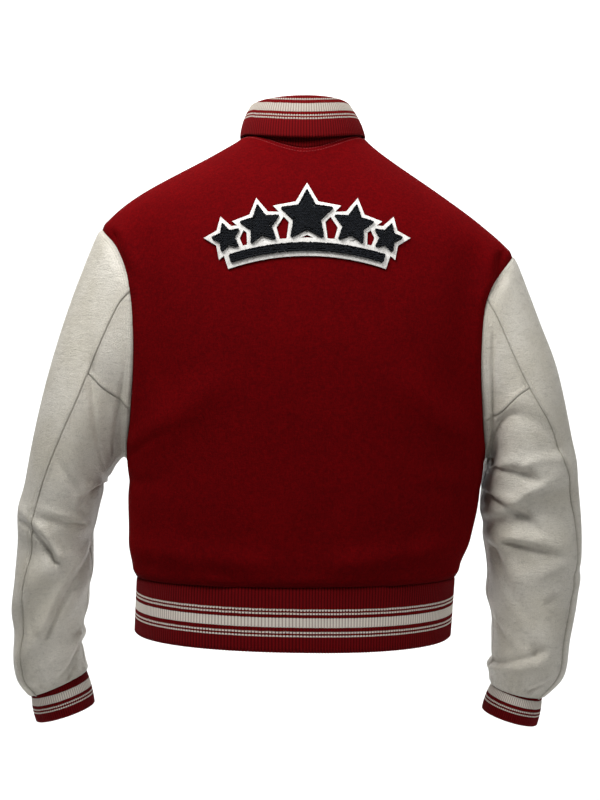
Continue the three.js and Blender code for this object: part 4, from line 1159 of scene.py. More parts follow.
@dataclass
class Waistband:
    """A ribbed band from its upper end at the middle front, round the left side and the back."""

    body: Body
    lap: Lap
    ribbing: Ribbing
    top: BandRow = BandRow(-562, 217, 193.5, 114.5, 117.5)
    hem: BandRow = BandRow(-638, 220, 188, 112.5, 114.5)
    ribs: int = 340
    rows: int = 16
    gap: float = 0.3
    dip: float = 1.4
    reach: float = 3.2
    rise: float = 3.5
    left_rise: float = 2.5
    back_drop: float = 6.5

    def surface(self, angle: Array, z: Array, out: Any) -> Array:
        """Points of the band: an oblong whose hem hangs lower at the back than at the left side.

        Args:
            angle: Angles of the points.
            z: Levels, before the hem's swing.
            out: How far the points move outwards.

        Returns:
            The points.
        """
        rows = (self.hem, self.top)
        wide = np.where(np.cos(angle) >= 0, column(rows, "z", "left", z), column(rows, "z", "right", z))
        deep = np.where(np.sin(angle) >= 0, column(rows, "z", "back", z), column(rows, "z", "front", z))
        swing = self.rise + self.left_rise * np.cos(angle) - self.back_drop * np.maximum(np.sin(angle), 0)
        point = self.body.oblong(angle, z, wide, deep, lambda x: out)
        point[..., 2] += swing * (self.top.z - z) / (self.top.z - self.hem.z)
        return point

    def shell(self) -> Shell:
        """The band's shell, its left end lifted onto its right one."""
        places = self.ribbing.places(self.ribs, closed=False)
        first = -np.pi / 2 - self.lap.width / self.top.right
        last = MIDDLE_FRONT + self.lap.width / self.top.left
        angle = lerp(first, last, places / self.ribs)
        z = lerp(self.hem.z, self.top.z - self.gap, np.linspace(0, 1, self.rows))[:, None]
        angle, z = np.broadcast_arrays(angle, z)
        mean = self.surface(angle, z, 0.0)
        lift = np.where(angle < 0, self.lap.height(mean[..., 0]), 0.0)
        margins = Margins.of(mean)
        lift = lift - self.dip * bell(margins.last_row, self.reach)
        relief = self.ribbing.relief(places)
        outer = self.surface(angle, z, lift + relief)
        inner = self.surface(angle, z, lift - self.ribbing.thick - relief / 2)
        chart = self.ribbing.chart(places, margins.first_row, closed=False)
        return Shell("waistband_knit", outer, inner, knit=chart)


class Rail(NamedTuple):
    """A line round the collar in plan: an oval a little wider behind, with its levels.

    fall says how late its level drops on the way to the front.
    """

    middle: float
    side: float
    back: float
    front: float
    z_side: float
    z_back: float
    z_front: float
    fall: float


@dataclass
class Collar:
    """A ribbed stand that turns over and lies down round the neck."""

    neck: Neck
    lap: Lap
    ribbing: Ribbing
    fold: Rail = Rail(6, 63, 62, 84, 38.5, 38.5, -38, 2.6)
    edge: Rail = Rail(3, 81, 78, 118, 2, -13, -90, 4)
    ribs: int = 140
    end_gap: float = 2.5
    turn: float = 2.1
    seam_gap: float = 0.5
    clearance: float = 4.5
    lap_clearance: float = 2.4
    roll: float = 2.5
    stand_rows: int = 10
    turn_rows: int = 9
    leaf_rows: int = 22

    @staticmethod
    def rail(spec: Rail, plan: Array) -> Array:
        """Points of a rail at plan angles: its level follows sin^2 behind and |sin|^fall before."""
        c, s = np.cos(plan), np.sin(plan)
        deep = np.where(s >= 0, spec.back, spec.front)
        end = np.where(s >= 0, spec.z_back, spec.z_front)
        share = np.where(s >= 0, s * s, np.abs(s) ** spec.fall)
        return np.stack([spec.middle * c * c + spec.side * c, deep * s, lerp(spec.z_side, end, share)], -1)

    def seam(self, plan: Array) -> tuple[Array, Array]:
        """Points of the neck seam, a gap off the panels, and the body's normals there."""
        step = 2 * TURN_STEP
        point, normal = self.rim(plan)
        along = self.rim(plan + step)[0] - self.rim(plan - step)[0]
        return point + unit(np.cross(normal, along)) * self.seam_gap, normal

    def rim(self, plan: Array) -> tuple[Array, Array]:
        """Points of the panels' edge at the neck, lifted at the left front, and their normals."""
        spot = self.neck.spot(plan)
        point, normal = self.neck.body.point(*spot), self.neck.body.normal(*spot)
        lift = np.where(plan <= 0, self.lap.height(point[..., 0]), 0.0)
        return point + normal * lift[..., None], normal

    def shell(self) -> Shell:
        """The collar's shell.

        Its middle surface goes straight up the stand, over half a circle at the fold, and down
        the leaf along a parabola through the leaf's middle to its edge.

        Returns:
            The shell, ribbed on both faces.
        """
        places = self.ribbing.places(self.ribs, closed=False)
        reach = self.end_gap / self.neck.left
        plan = lerp(-np.pi / 2 + reach, MIDDLE_FRONT - reach, places / self.ribs)
        seam, normal = self.seam(plan)
        half = self.ribbing.thick / 2
        out = np.stack([np.cos(plan), np.sin(plan), np.zeros_like(plan)], -1)
        up = np.array([0.0, 0.0, 1.0])
        fold, edge = self.rail(self.fold, plan), self.rail(self.edge, plan)
        lift = np.where(plan < 0, self.lap.height(edge[:, 0]), 0.0)
        clear = self.clearance + self.lap_clearance * lift
        edge[:, 2] = np.maximum(edge[:, 2], self.neck.body.shoulder_height(edge[:, 0], edge[:, 1]) + clear)
        start, stand_top = seam - normal * half, fold - out * self.turn
        middle = (fold + out * (self.turn + half) + edge) / 2 + out * ((self.roll + lift) - half)[:, None]
        leaf_top, leaf_end = fold + out * self.turn, edge - out * half
        share = np.linspace(0, 1, self.stand_rows)[:-1, None, None]
        stand = lerp(start, stand_top, share)
        arc = np.linspace(0, np.pi, self.turn_rows)[:-1, None, None]
        bend = fold - out * self.turn * np.cos(arc) + up * self.turn * np.sin(arc)
        t = np.linspace(0, 1, self.leaf_rows)[:, None, None]
        leaf = leaf_top * (1 - t) * (1 - 2 * t) + middle * 4 * t * (1 - t) + leaf_end * t * (2 * t - 1)
        surface = np.concatenate([stand, bend, leaf])
        normals = unit(np.cross(np.gradient(surface, axis=0), np.gradient(surface, axis=1)))
        relief = self.ribbing.relief(places)[:, None]
        outer = surface + normals * (half + relief)
        inner = surface - normals * (half + relief / 2)
        chart = self.ribbing.chart(places, Margins.of(surface).last_row, closed=False)
        return Shell("collar_knit", outer, inner, knit=chart)


# The patch on the back


@dataclass(frozen=True)
class Outline:
    """A closed outline in the patch's own plane, as corners in order.

    step is how far ahead a side's direction is taken, and kept the share of an inset that a
    place must be away from all sides.
    """

    corners: Array
    step: ClassVar[float] = 0.1
    kept: ClassVar[float] = 0.8

    def distance(self, places: Array) -> Array:
        """Distance of places inside from the outline, and 0 outside it.

        The nearest spot on each side is found by projection, and a place is inside where a ray
        along the first axis crosses the sides an odd number of times.
        """
        start, end = self.corners, np.roll(self.corners, -1, axis=0)
        along = end - start
        away = places[:, None] - start
        share = np.clip(np.sum(away * along, -1) / np.sum(along * along, -1), 0, 1)
        nearest = np.linalg.norm(away - share[..., None] * along, axis=-1).min(1)
        level = places[:, None, 1]
        crossing = (start[:, 1] > level) != (end[:, 1] > level)
        rise = np.where(along[:, 1] == 0, 1.0, along[:, 1])
        hit = places[:, None, 0] < start[:, 0] + (level - start[:, 1]) * along[:, 0] / rise
        return np.where(np.sum(crossing & hit, 1) % 2 == 1, nearest, 0.0)

    def walk(self, pitch: float, inset: float) -> Array:
        """Places a pitch apart along the outline, moved inwards.

        Args:
            pitch: Step along the outline.
            inset: How far the places move; those that the other side comes too near are left out.

        Returns:
            The places.
        """
        loop = np.concatenate([self.corners, self.corners[:1]])
        reached = np.append(0, np.cumsum(np.linalg.norm(np.diff(loop, axis=0), axis=1)))
        steps = np.linspace(0, reached[-1], int(reached[-1] / pitch), endpoint=False)
        places = np.stack([np.interp(steps, reached, loop[:, axis]) for axis in (0, 1)], 1)
        ahead = steps + self.step
        along = np.stack([np.interp(ahead, reached, loop[:, axis]) for axis in (0, 1)], 1) - places
        inwards = unit(np.stack([-along[:, 1], along[:, 0]], 1))
        tries = [places + inwards * inset, places - inwards * inset]
        depth = [self.distance(place) for place in tries]
        best = np.where((depth[0] > depth[1])[:, None], tries[0], tries[1])
        return best[np.maximum(*depth) > self.kept * inset]

    def fill(self, pitch: float, inset: float) -> Array:
        """Places on a honeycomb inside the outline, beyond the inset."""
        low, high = self.corners.min(0), self.corners.max(0)
        first, second = np.meshgrid(
            np.arange(low[0], high[0], pitch), np.arange(low[1], high[1], pitch * np.sqrt(3) / 2)
        )
        first[1::2] += pitch / 2
        places = np.stack([first, second], -1).reshape(-1, 2)
        return places[self.distance(places) > inset]


class Star(NamedTuple):
    """A star of the patch: its angle on the arc in degrees and its size."""

    angle: float
    size: float


@dataclass
class Patch:
    """A felt backing with chenille stars in an arc over a chenille bar.

    border_pitch and border are shares of the pitch, and inset is one of a tuft's radius. rise and
    ring_radius are a tuft's rings, and it has eight sides, as its lid and its base expect.
    """

    body: Body
    x: float = -2.0
    z: float = -160.0
    arc: float = 300.0
    bar_half: float = np.radians(17.5)
    bar_height: float = 10.0
    bar_points: int = 60
    star_space: float = 5.0
    waist: float = 0.5
    points: int = 5
    stars: tuple[Star, ...] = (
        Star(-16.9, 19), Star(-9.5, 26), Star(0, 34), Star(9.5, 26), Star(16.9, 19),
    )
    felt_top: float = 2.1
    bed: float = 1.5
    pile: float = 3.7
    pitch: float = 2.2
    border_pitch: float = 0.86
    tuft: float = 1.42
    inset: float = 0.62
    border: float = 0.62
    scatter: float = 0.16
    sunk: float = 0.2
    squash: float = 0.12
    rise: tuple[float, ...] = (0.0, 0.42, 0.8, 1.15, 1.45)
    ring_radius: tuple[float, ...] = (1.0, 1.04, 0.86, 0.56, 0.2)
    sides: int = 8
    seed: int = 7

    def star_outline(self, star: Star) -> Outline:
        """Outline of a star whose first tip points away from the arc's centre."""
        reach = self.arc + self.bar_height + self.star_space + star.size * np.cos(np.pi / self.points)
        place = np.radians(star.angle)
        turn = np.pi / 2 - place + np.arange(2 * self.points) * np.pi / self.points
        tips = np.arange(2 * self.points) % 2 == 0
        spoke = np.where(tips, star.size, star.size * self.waist)
        centre = np.array([reach * np.sin(place), reach * np.cos(place) - self.arc])
        return Outline(centre + spoke[:, None] * np.stack([np.cos(turn), np.sin(turn)], 1))

    def bar_outline(self) -> Outline:
        """Outline of the bar: along its outer arc and back along its inner one."""
        turn = np.linspace(-self.bar_half, self.bar_half, self.bar_points)
        arcs = ((self.arc + self.bar_height, turn), (self.arc, turn[::-1]))
        lines = [np.stack([reach * np.sin(way), reach * np.cos(way) - self.arc], 1) for reach, way in arcs]
        return Outline(np.concatenate(lines))

    def on_back(self, places: Array, height: Array) -> Array:
        """Points over places of the patch's plane, at a height over the wool."""
        x, z = self.x - places[..., 0], self.z + places[..., 1]
        return self.body.back_point(x, z) + self.body.back_normal(x, z) * np.asarray(height)[..., None]

    def pile_mesh(self, name: str, outline: Outline) -> Object:
        """Chenille inside an outline: a low bed and a rounded tuft at every place.

        A tuft is rings of a dome: at a share t of a quarter turn, its radius is cos(t) and its
        height sin(t), with the radius, height and place of each tuft a little uneven.

        Args:
            name: The piece's name.
            outline: Where the chenille goes.

        Returns:
            The piece's object.
        """
        random = np.random.default_rng(self.seed)
        inset = self.tuft * self.inset
        border = outline.walk(self.pitch * self.border_pitch, inset)
        places = np.concatenate([border, outline.fill(self.pitch, inset + self.pitch * self.border)])
        places = places + random.normal(0, self.scatter, places.shape)
        count = len(places)
        radius = self.tuft * random.uniform(0.86, 1.1, count)
        top = self.felt_top + self.bed + (self.pile - self.bed) * random.uniform(0.8, 1.04, count)
        foot = self.felt_top - self.sunk
        turn = np.linspace(0, 2 * np.pi, self.sides, endpoint=False)
        rise, ring_radius = np.array(self.rise), np.array(self.ring_radius)
        share = np.sin(rise) / np.sin(rise[-1])
        squash = 1 + self.squash * np.sin(2 * turn + random.uniform(0, np.pi, (count, 1)))
        offset = np.stack([np.cos(turn), np.sin(turn)], -1) * (radius[:, None] * squash)[..., None]
        spots = places[:, None, None] + offset[:, None] * ring_radius[:, None, None]
        heights = np.broadcast_to(lerp(foot, top[:, None], share)[..., None], spots.shape[:-1])
        points = self.on_back(spots, heights).reshape(-1, 3)
        rings, sides = len(rise), self.sides
        wall = grid_faces(rings, sides, closed=True)
        top_ring = (rings - 1) * sides
        lid = np.array([[0, 1, 2, 3], [0, 3, 4, 7], [4, 5, 6, 7]]) + top_ring
        base = np.array([[3, 2, 1, 0], [7, 4, 3, 0], [7, 6, 5, 4]])
        faces = np.concatenate([wall, lid, base])
        faces = (faces + (np.arange(count) * rings * sides)[:, None, None]).reshape(-1, 4)
        piece = add_mesh(name, points, faces)
        shade = np.repeat(random.uniform(0, 1, count), rings * sides)
        # Each point's share up its tuft, kept as height, lets the material paint shade at the tufts' feet.
        depth = np.tile(np.repeat(share, sides), count)
        mark(piece, "shade", shade)
        mark(piece, "height", depth)
        return piece


@dataclass(frozen=True)
class FeltBacking:
    """The felt under the patch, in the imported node's own shape, with softened edges."""

    node: str
    merged: float = 0.02
    softness: float = 0.35
    segments: int = 2
    sharp_from: float = 50.0

    def build(self) -> Object:
        """Makes the felt from a copy of the node's mesh, its corners merged.

        Returns:
            The felt's object.
        """
        mesh = bpy.data.objects[self.node].data.copy()
        shape = bmesh.new()
        shape.from_mesh(mesh)
        bmesh.ops.remove_doubles(shape, verts=shape.verts, dist=self.merged * MM)
        bmesh.ops.recalc_face_normals(shape, faces=shape.faces)
        shape.to_mesh(mesh)
        shape.free()
        mesh.materials.clear()
        piece = link("patch_felt_backing", smoothed(mesh))
        bevel = piece.modifiers.new("soft_edge", "BEVEL")
        bevel.width, bevel.segments = self.softness * MM, self.segments
        bevel.limit_method, bevel.angle_limit = "ANGLE", np.radians(self.sharp_from)
        bevel.harden_normals = True
        return piece


# Snaps and thread


@dataclass
class Snaps:
    """Domed caps on the lifted edge of the left front and of the waistband."""

    body: Body
    band: Waistband
    lap: Lap
    first: float = -110.0
    pitch: float = 87.0
    count: int = 6
    band_level: float = -600.0
    lift: float = 0.55
    band_out: float = 0.45
    sides: int = 48
    radii: tuple[float, ...] = (0, 7.1, 7.45, 7.5, 7.3, 6.7, 6.3, 6.0, 5.6, 4.6, 3.2, 1.6, 0)
    heights: tuple[float, ...] = (0, 0, 0.2, 0.55, 0.95, 1.2, 1.1, 1.12, 1.45, 1.86, 2.2, 2.42, 2.5)

    def cloth(self, turn: float, z: float) -> Array:
        """Point of the front or of the waistband, a turn off the middle front at a level."""
        spot = np.array(MIDDLE_FRONT + turn), np.array(z)
        return self.band.surface(*spot, self.band_out) if z < self.body.hem else self.body.point(*spot)

    def seat(self, level: float) -> tuple[Array, Array]:
        """Where a cap sits on the lifted edge, and the way out of the cloth there."""
        across = self.cloth(TURN_STEP, level) - self.cloth(-TURN_STEP, level)
        up = self.cloth(0, level + LEVEL_STEP) - self.cloth(0, level - LEVEL_STEP)
        normal = unit(np.cross(across, up))
        return self.cloth(0, level) + normal * (self.lap.lift + self.lift), normal

    def levels(self) -> list[float]:
        """Levels of the caps from the top down, the waistband's last."""
        return [self.first - self.pitch * index for index in range(self.count)] + [self.band_level]

    def cap(self, name: str, level: float) -> Object:
        """One cap: its profile turned round the way out of the cloth.

        Args:
            name: The piece's name.
            level: The cap's level.

        Returns:
            The piece's object.
        """
        seat, normal = self.seat(level)
        across = unit(np.cross(normal, np.array([0.0, 0.0, 1.0])))
        upwards = np.cross(across, normal)
        turn = np.linspace(0, 2 * np.pi, self.sides, endpoint=False)
        spokes = np.cos(turn)[:, None] * across + np.sin(turn)[:, None] * upwards
        radii, heights = np.array(self.radii[1:-1]), np.array(self.heights[1:-1])
        rings = seat + radii[:, None, None] * spokes + heights[:, None, None] * normal
        points = np.concatenate([rings.reshape(-1, 3), [seat, seat + normal * self.heights[-1]]])
        wall = grid_faces(len(radii), self.sides, closed=True)
        start = np.arange(0, self.sides, 2)
        pairs = np.stack([start, start + 1, (start + 2) % self.sides], -1)
        foot, top = (np.full((len(start), 1), len(points) - place) for place in (2, 1))
        lid = np.concatenate([pairs + (len(radii) - 1) * self.sides, top], 1)
        base = np.concatenate([pairs[:, ::-1], foot], 1)
        return add_mesh(name, points, np.concatenate([wall, lid, base]))


@dataclass(frozen=True)
class Rope:
    """A line on a surface that thread follows: its points and the way out of the cloth."""

    points: Array
    normals: Array

    @classmethod
    def inside(cls, shell: Shell, margin: Array, offset: float, turned: bool = False) -> "Rope":
        """The line where a shell's margin has a value, one point for each row.

        Args:
            shell: The shell that is sewn.
            margin: Distance from one edge for each grid point.
            offset: The distance at which the thread runs.
            turned: Whether the margin grows along the columns instead of the rows.

        Returns:
            The line.
        """
        outer = shell.outer.swapaxes(0, 1) if turned else shell.outer
        inner = shell.inner.swapaxes(0, 1) if turned else shell.inner
        margin = margin.T if turned else margin
        if margin[0, 0] > margin[0, -1]:
            outer, inner, margin = outer[:, ::-1], inner[:, ::-1], margin[:, ::-1]
        after = np.clip(np.argmax(margin >= offset, axis=1), 1, margin.shape[1] - 1)
        row = np.arange(len(margin))
        low, high = margin[row, after - 1], margin[row, after]
        share = np.clip((offset - low) / np.maximum(high - low, TINY), 0, 1)[:, None]
        points = lerp(outer[row, after - 1], outer[row, after], share)
        backs = lerp(inner[row, after - 1], inner[row, after], share)
        return cls(points, unit(points - backs))

    def between(self, start: float, end: float) -> "Rope":
        """The part between two distances along the line; a negative end counts from its far end."""
        reached = self.reached()
        keep = (reached >= start) & (reached <= (end if end > 0 else reached[-1] + end))
        return Rope(self.points[keep], self.normals[keep])

    def reached(self) -> Array:
        """Distance along the line to each of its points."""
        return np.append(0, np.cumsum(np.linalg.norm(np.diff(self.points, axis=0), axis=1)))

    def at(self, steps: Array) -> tuple[Array, Array]:
        """Points and normals at distances along the line, straight between its points."""
        reached = self.reached()
        return tuple(
            np.stack([np.interp(steps, reached, grid[:, axis]) for axis in range(3)], -1)
            for grid in (self.points, self.normals)
        )


@dataclass(frozen=True)
class Stitching:
    """Lockstitch on the surface: short rounded lengths of thread, sunk at both their ends.

    A stitch has six sides, as its end caps expect, and waist is the share of its radius that is
    left at its ends.
    """

    pitch: float = 3.6
    length: float = 3.0
    radius: float = 0.29
    rings: int = 6
    sides: int = 6
    proud: float = 0.2
    sunk: float = 0.3
    waist: float = 0.5

    def sew(self, name: str, ropes: Sequence[Rope]) -> Object:
        """Thread along lines.

        At a share t of a stitch, its middle lies at proud x sin(pi t) - sunk x cos(pi t)^6 over
        the cloth, and its radius shrinks to its waist at the ends.

        Args:
            name: The piece's name.
            ropes: The lines.

        Returns:
            One object with all the stitches.
        """
        t = np.linspace(0, 1, self.rings)
        turn = np.linspace(0, 2 * np.pi, self.sides, endpoint=False)
        height = self.proud * np.sin(np.pi * t) - self.sunk * np.cos(np.pi * t) ** 6
        thin = self.radius * lerp(self.waist, 1, np.sqrt(np.sin(np.pi * t)))
        points = []
        for rope in ropes:
            count = int(rope.reached()[-1] / self.pitch)
            steps = (np.arange(count)[:, None] + (t - 0.5) * self.length / self.pitch + 0.5) * self.pitch
            spots, normals = rope.at(steps)
            normals = unit(normals)
            along = unit(np.gradient(spots, axis=1))
            across = np.cross(along, normals)
            spots = spots + normals * height[:, None]
            ring = across[:, :, None] * np.cos(turn)[:, None] + normals[:, :, None] * np.sin(turn)[:, None]
            points.append((spots[:, :, None] + ring * thin[:, None, None]).reshape(count, -1, 3))
        stitches = np.concatenate(points)
        wall = grid_faces(self.rings, self.sides, closed=True)
        last = (self.rings - 1) * self.sides
        caps = np.array([[3, 2, 1, 0], [5, 4, 3, 0], [last, last + 1, last + 2, last + 3],
                         [last, last + 3, last + 4, last + 5]])
        block = np.concatenate([wall, caps])
        starts = np.arange(len(stitches)) * self.rings * self.sides
        faces = (block + starts[:, None, None]).reshape(-1, 4)
        return add_mesh(name, stitches.reshape(-1, 3), faces)


# Distance of the seams' lines from the edges, and how far from its ends each line runs.
NECK_LINES = (2.6, 8.2)
LAP_LINE = 6.0
LEATHER_RUN = (4.0, -5.0)
NECK_RUN = (5.0, -5.0)
LAP_RUN = (6.0, -12.0)


# Finishes

Colour = tuple[float, float, float, float]


def tone(red: int, green: int, blue: int) -> Colour:
    """Linear colour of a screen colour: c / 12.92 up to 0.04045, else ((c + 0.055) / 1.055)^2.4."""
    parts = (value / 255 for value in (red, green, blue))
    return (*(c / 12.92 if c <= 0.04045 else ((c + 0.055) / 1.055) ** 2.4 for c in parts), 1.0)


@dataclass(frozen=True)
class Signal:
    """A value in a material, which arithmetic carries on into new Math nodes."""

    recipe: "Recipe"
    socket: NodeSocket

    def math(self, operation: str, *values: Any) -> "Signal":
        """A Math node's result for values, in order."""
        return self.recipe.node("ShaderNodeMath", {"operation": operation}, dict(enumerate(values)))

    def __add__(self, other: Any) -> "Signal":
        """Sum."""
        return self.math("ADD", self, other)

    def __radd__(self, other: Any) -> "Signal":
        """Sum, with the signal second."""
        return self.math("ADD", other, self)

    def __sub__(self, other: Any) -> "Signal":
        """Difference."""
        return self.math("SUBTRACT", self, other)

    def __rsub__(self, other: Any) -> "Signal":
        """Difference, with the signal second."""
        return self.math("SUBTRACT", other, self)

    def __mul__(self, other: Any) -> "Signal":
        """Product."""
        return self.math("MULTIPLY", self, other)

    def __rmul__(self, other: Any) -> "Signal":
        """Product, with the signal second."""
        return self.math("MULTIPLY", other, self)

    def __truediv__(self, other: Any) -> "Signal":
        """Quotient."""
        return self.math("DIVIDE", self, other)

    def __rtruediv__(self, other: Any) -> "Signal":
        """Quotient, with the signal second."""
        return self.math("DIVIDE", other, self)

    def absolute(self) -> "Signal":
        """Distance from nothing."""
        return self.math("ABSOLUTE", self)

    def sine(self) -> "Signal":
        """Sine."""
        return self.math("SINE", self)

    def cosine(self) -> "Signal":
        """Cosine."""
        return self.math("COSINE", self)

    def wrapped(self) -> "Signal":
        """Part after the whole number."""
        return self.math("FRACT", self)

    def ramp(self, low: float, high: float, start: float = 0.0, end: float = 1.0) -> "Signal":
        """Soft step from start at low to end at high."""
        values = {"Value": self, "From Min": low, "From Max": high, "To Min": start, "To Max": end}
        settings = {"interpolation_type": "SMOOTHSTEP"}
        return self.recipe.node("ShaderNodeMapRange", settings, values)

    def near(self, place: float, reach: float) -> "Signal":
        """Soft peak, 1 at a place and 0 a reach away from it."""
        return (self - place).absolute().ramp(0, reach, 1, 0)


@dataclass
class Recipe:
    """A material being made: its nodes end in one Principled shader."""

    name: str

    def __post_init__(self) -> None:
        """Makes the material and keeps its tree and shader."""
        self.material = bpy.data.materials.new(self.name)
        self.material.use_nodes = True
        self.tree = self.material.node_tree
        self.shader = next(n for n in self.tree.nodes if n.type == "BSDF_PRINCIPLED")

    def node(self, kind: str, settings: dict[str, Any], inputs: dict[Any, Any], output: Any = 0) -> Signal:
        """Makes a node.

        Args:
            kind: The node's type.
            settings: Its properties.
            inputs: Values or signals for its sockets, by name or place.
            output: Name or place of the socket to hand back.

        Returns:
            The output's signal.
        """
        made = self.tree.nodes.new(kind)
        for key, value in settings.items():
            setattr(made, key, value)
        for key, value in inputs.items():
            self.feed(made.inputs[key], value)
        return Signal(self, made.outputs[output])

    def feed(self, socket: NodeSocket, value: Any) -> None:
        """Links a signal to a socket, or sets a plain value on it."""
        if isinstance(value, Signal):
            self.tree.links.new(value.socket, socket)
        else:
            socket.default_value = value

    def place(self) -> Signal:
        """Object coordinates."""
        return self.node("ShaderNodeTexCoord", {}, {}, "Object")

    def attribute(self, name: str) -> Signal:
        """A value kept with the mesh's points."""
        return self.node("ShaderNodeAttribute", {"attribute_name": name}, {}, "Fac")

    def noise(self, scale: float, detail: float = 2.0, rough: float = 0.5,
              vector: Signal | None = None) -> Signal:
        """Noise with a scale in cells a metre."""
        values = {"Vector": vector or self.place(), "Scale": scale, "Detail": detail, "Roughness": rough}
        return self.node("ShaderNodeTexNoise", {}, values, "Fac")

    def stretched(self, factors: tuple[float, float, float], turn: float = 0.0) -> Signal:
        """Object coordinates turned about the depth axis and scaled on each axis."""
        values = {"Vector": self.place(), "Rotation": (0, turn, 0), "Scale": factors}
        return self.node("ShaderNodeMapping", {"vector_type": "POINT"}, values, 0)

    def cells(self, scale: float) -> Signal:
        """Distance from the edges of Voronoi cells."""
        values = {"Vector": self.place(), "Scale": scale}
        return self.node("ShaderNodeTexVoronoi", {"feature": "DISTANCE_TO_EDGE"}, values, "Distance")

    def mix(self, first: Any, second: Any, factor: Any) -> Signal:
        """Mix of two colours; the node's colour sockets are its inputs 6 and 7 and its output 2."""
        return self.node("ShaderNodeMix", {"data_type": "RGBA"}, {0: factor, 6: first, 7: second}, 2)

    def bump(self, height: Signal, distance: float, strength: float = 1.0,
             under: Signal | None = None) -> Signal:
        """Normal of a relief whose height runs from 0 to 1 over a distance in millimetres."""
        values = {"Height": height, "Distance": distance * MM, "Strength": strength}
        if under:
            values["Normal"] = under
        return self.node("ShaderNodeBump", {}, values, "Normal")

    def finish(self, **sockets: Any) -> Material:
        """Sets the shader's sockets, named with _ for a space, and hands the material back."""
        for word, value in sockets.items():
            self.feed(self.shader.inputs[word.replace("_", " ")], value)
        return self.material


@dataclass(frozen=True)
class Wool:
    """Felted melton wool: a matt nap of short fibres, pressed flatter along its seams, with painted shade
    darkening it there.
    """

    deep: Colour = tone(74, 3, 6)
    bright: Colour = tone(102, 4, 7)
    # A brighter red for painted highlights on the nap's fibre tips.
    lint: Colour = tone(150, 12, 11)
    sheen: Colour = tone(170, 4, 4)

    def build(self) -> Material:
        """Makes the material."""
        r = Recipe("melton_wool")
        fibres = r.noise(520, 3, 0.62, r.stretched((1.0, 1.0, 0.42), 0.5))
        crossing = r.noise(470, 3, 0.62, r.stretched((0.42, 1.0, 1.0), -0.35))
        nap = r.noise(1500, 2, 0.6)
        cloud = r.noise(14, 3, 0.55)
        felted = r.noise(120, 4, 0.6)
        edge = r.attribute("edge")
        # The band near the seams is less rough, and its colour below is darkened by painted shade.
        pressed = edge.ramp(1.0, 9.0, 1, 0)
        blend = (fibres * 0.5 + crossing * 0.5 + cloud * 0.2 + felted * 0.2).ramp(0.45, 0.98)
        # The fine flecks of the nap get a painted highlight.
        colour = r.mix(r.mix(self.deep, self.bright, blend), self.lint, nap.ramp(0.58, 0.8) * 0.45)
        # Painted shade: the colour darkens towards the deep red across the band beside each seam, most at
        # the seam itself.
        colour = r.mix(colour, self.deep, pressed * 0.35 + edge.ramp(0, 1.6, 0.4, 0))
        relief = fibres * 0.4 + crossing * 0.4 + nap * 0.25
        puckers = (r.attribute("run") * 1.45).sine() * edge.near(5.0, 5.0)
        normal = r.bump(relief, 0.6, 0.9, r.bump(felted * 0.8 + puckers * 0.16, 0.9, 0.6))
        rough = 0.93 - pressed * 0.08 + (nap - 0.5) * 0.1
        return r.finish(
            Base_Color=colour, Roughness=rough, Normal=normal, Sheen_Weight=0.15, Sheen_Roughness=0.45,
            Sheen_Tint=self.sheen, Specular_IOR_Level=0.02,
        )


@dataclass(frozen=True)
class Leather:
    """Off-white cowhide with a pebbled grain, greyer in its creases, with painted shade near its seams and
    along its stitch groove.
    """

    pale: Colour = tone(226, 221, 209)
    warm: Colour = tone(212, 206, 191)
    # This grey is wear in the creases and painted shade near the seams and in the stitch groove.
    worn: Colour = tone(173, 168, 156)
    pore: Colour = tone(140, 134, 122)

    def build(self) -> Material:
        """Makes the material."""
        r = Recipe("grained_leather")
        sway = r.noise(240, 2, 0.5)
        grain, fine = r.cells(640), r.cells(1350)
        pebble = grain.ramp(0.0, 0.22) * 0.75 + fine.ramp(0.0, 0.2) * 0.25
        creasing = r.noise(60, 5, 0.65, r.stretched((1.0, 1.0, 2.6)))
        cloud = r.noise(16, 3, 0.55)
        edge, lap = r.attribute("edge"), r.attribute("lap")
        groove = (1 - pebble) * (0.55 + sway * 0.5)
        crinkles = r.noise(250, 3, 0.6, r.stretched((1.0, 1.0, 2.0), 0.2))
        colour = r.mix(self.pale, self.warm, cloud.ramp(0.35, 0.68))
        # Grey in the random creasing, plus painted shade near the seams.
        colour = r.mix(colour, self.worn, creasing.ramp(0.5, 0.72) * 0.32 + edge.ramp(0.4, 4.5, 0.4, 0))
        colour = r.mix(colour, self.pore, groove * 0.5 + crinkles.ramp(0.56, 0.72) * 0.2)
        # Painted shade in the groove under the topstitching.
        colour = r.mix(colour, self.worn, lap.near(6.0, 1.5) * 0.3)
        hollows = (r.attribute("run") * 1.75).sine() * edge.near(6.0, 5.0)
        wrinkles = r.noise(95, 4, 0.62, r.stretched((1.0, 1.0, 2.2), 0.3))
        under = r.bump(wrinkles * 0.8 + crinkles * 0.45 + hollows * 0.14, 2.0, 0.75)
        normal = r.bump(pebble, 0.42, 0.9, under)
        rough = 0.44 + groove * 0.16 + (creasing - 0.5) * 0.18
        return r.finish(
            Base_Color=colour, Roughness=rough, Normal=normal, Specular_IOR_Level=0.45, Coat_Weight=0.06,
            Coat_Roughness=0.35,
        )


class Stripe(NamedTuple):
    """A stripe of the knit, in millimetres from the free edge; a thin one shows on crests alone."""

    start: float
    end: float
    thin: bool


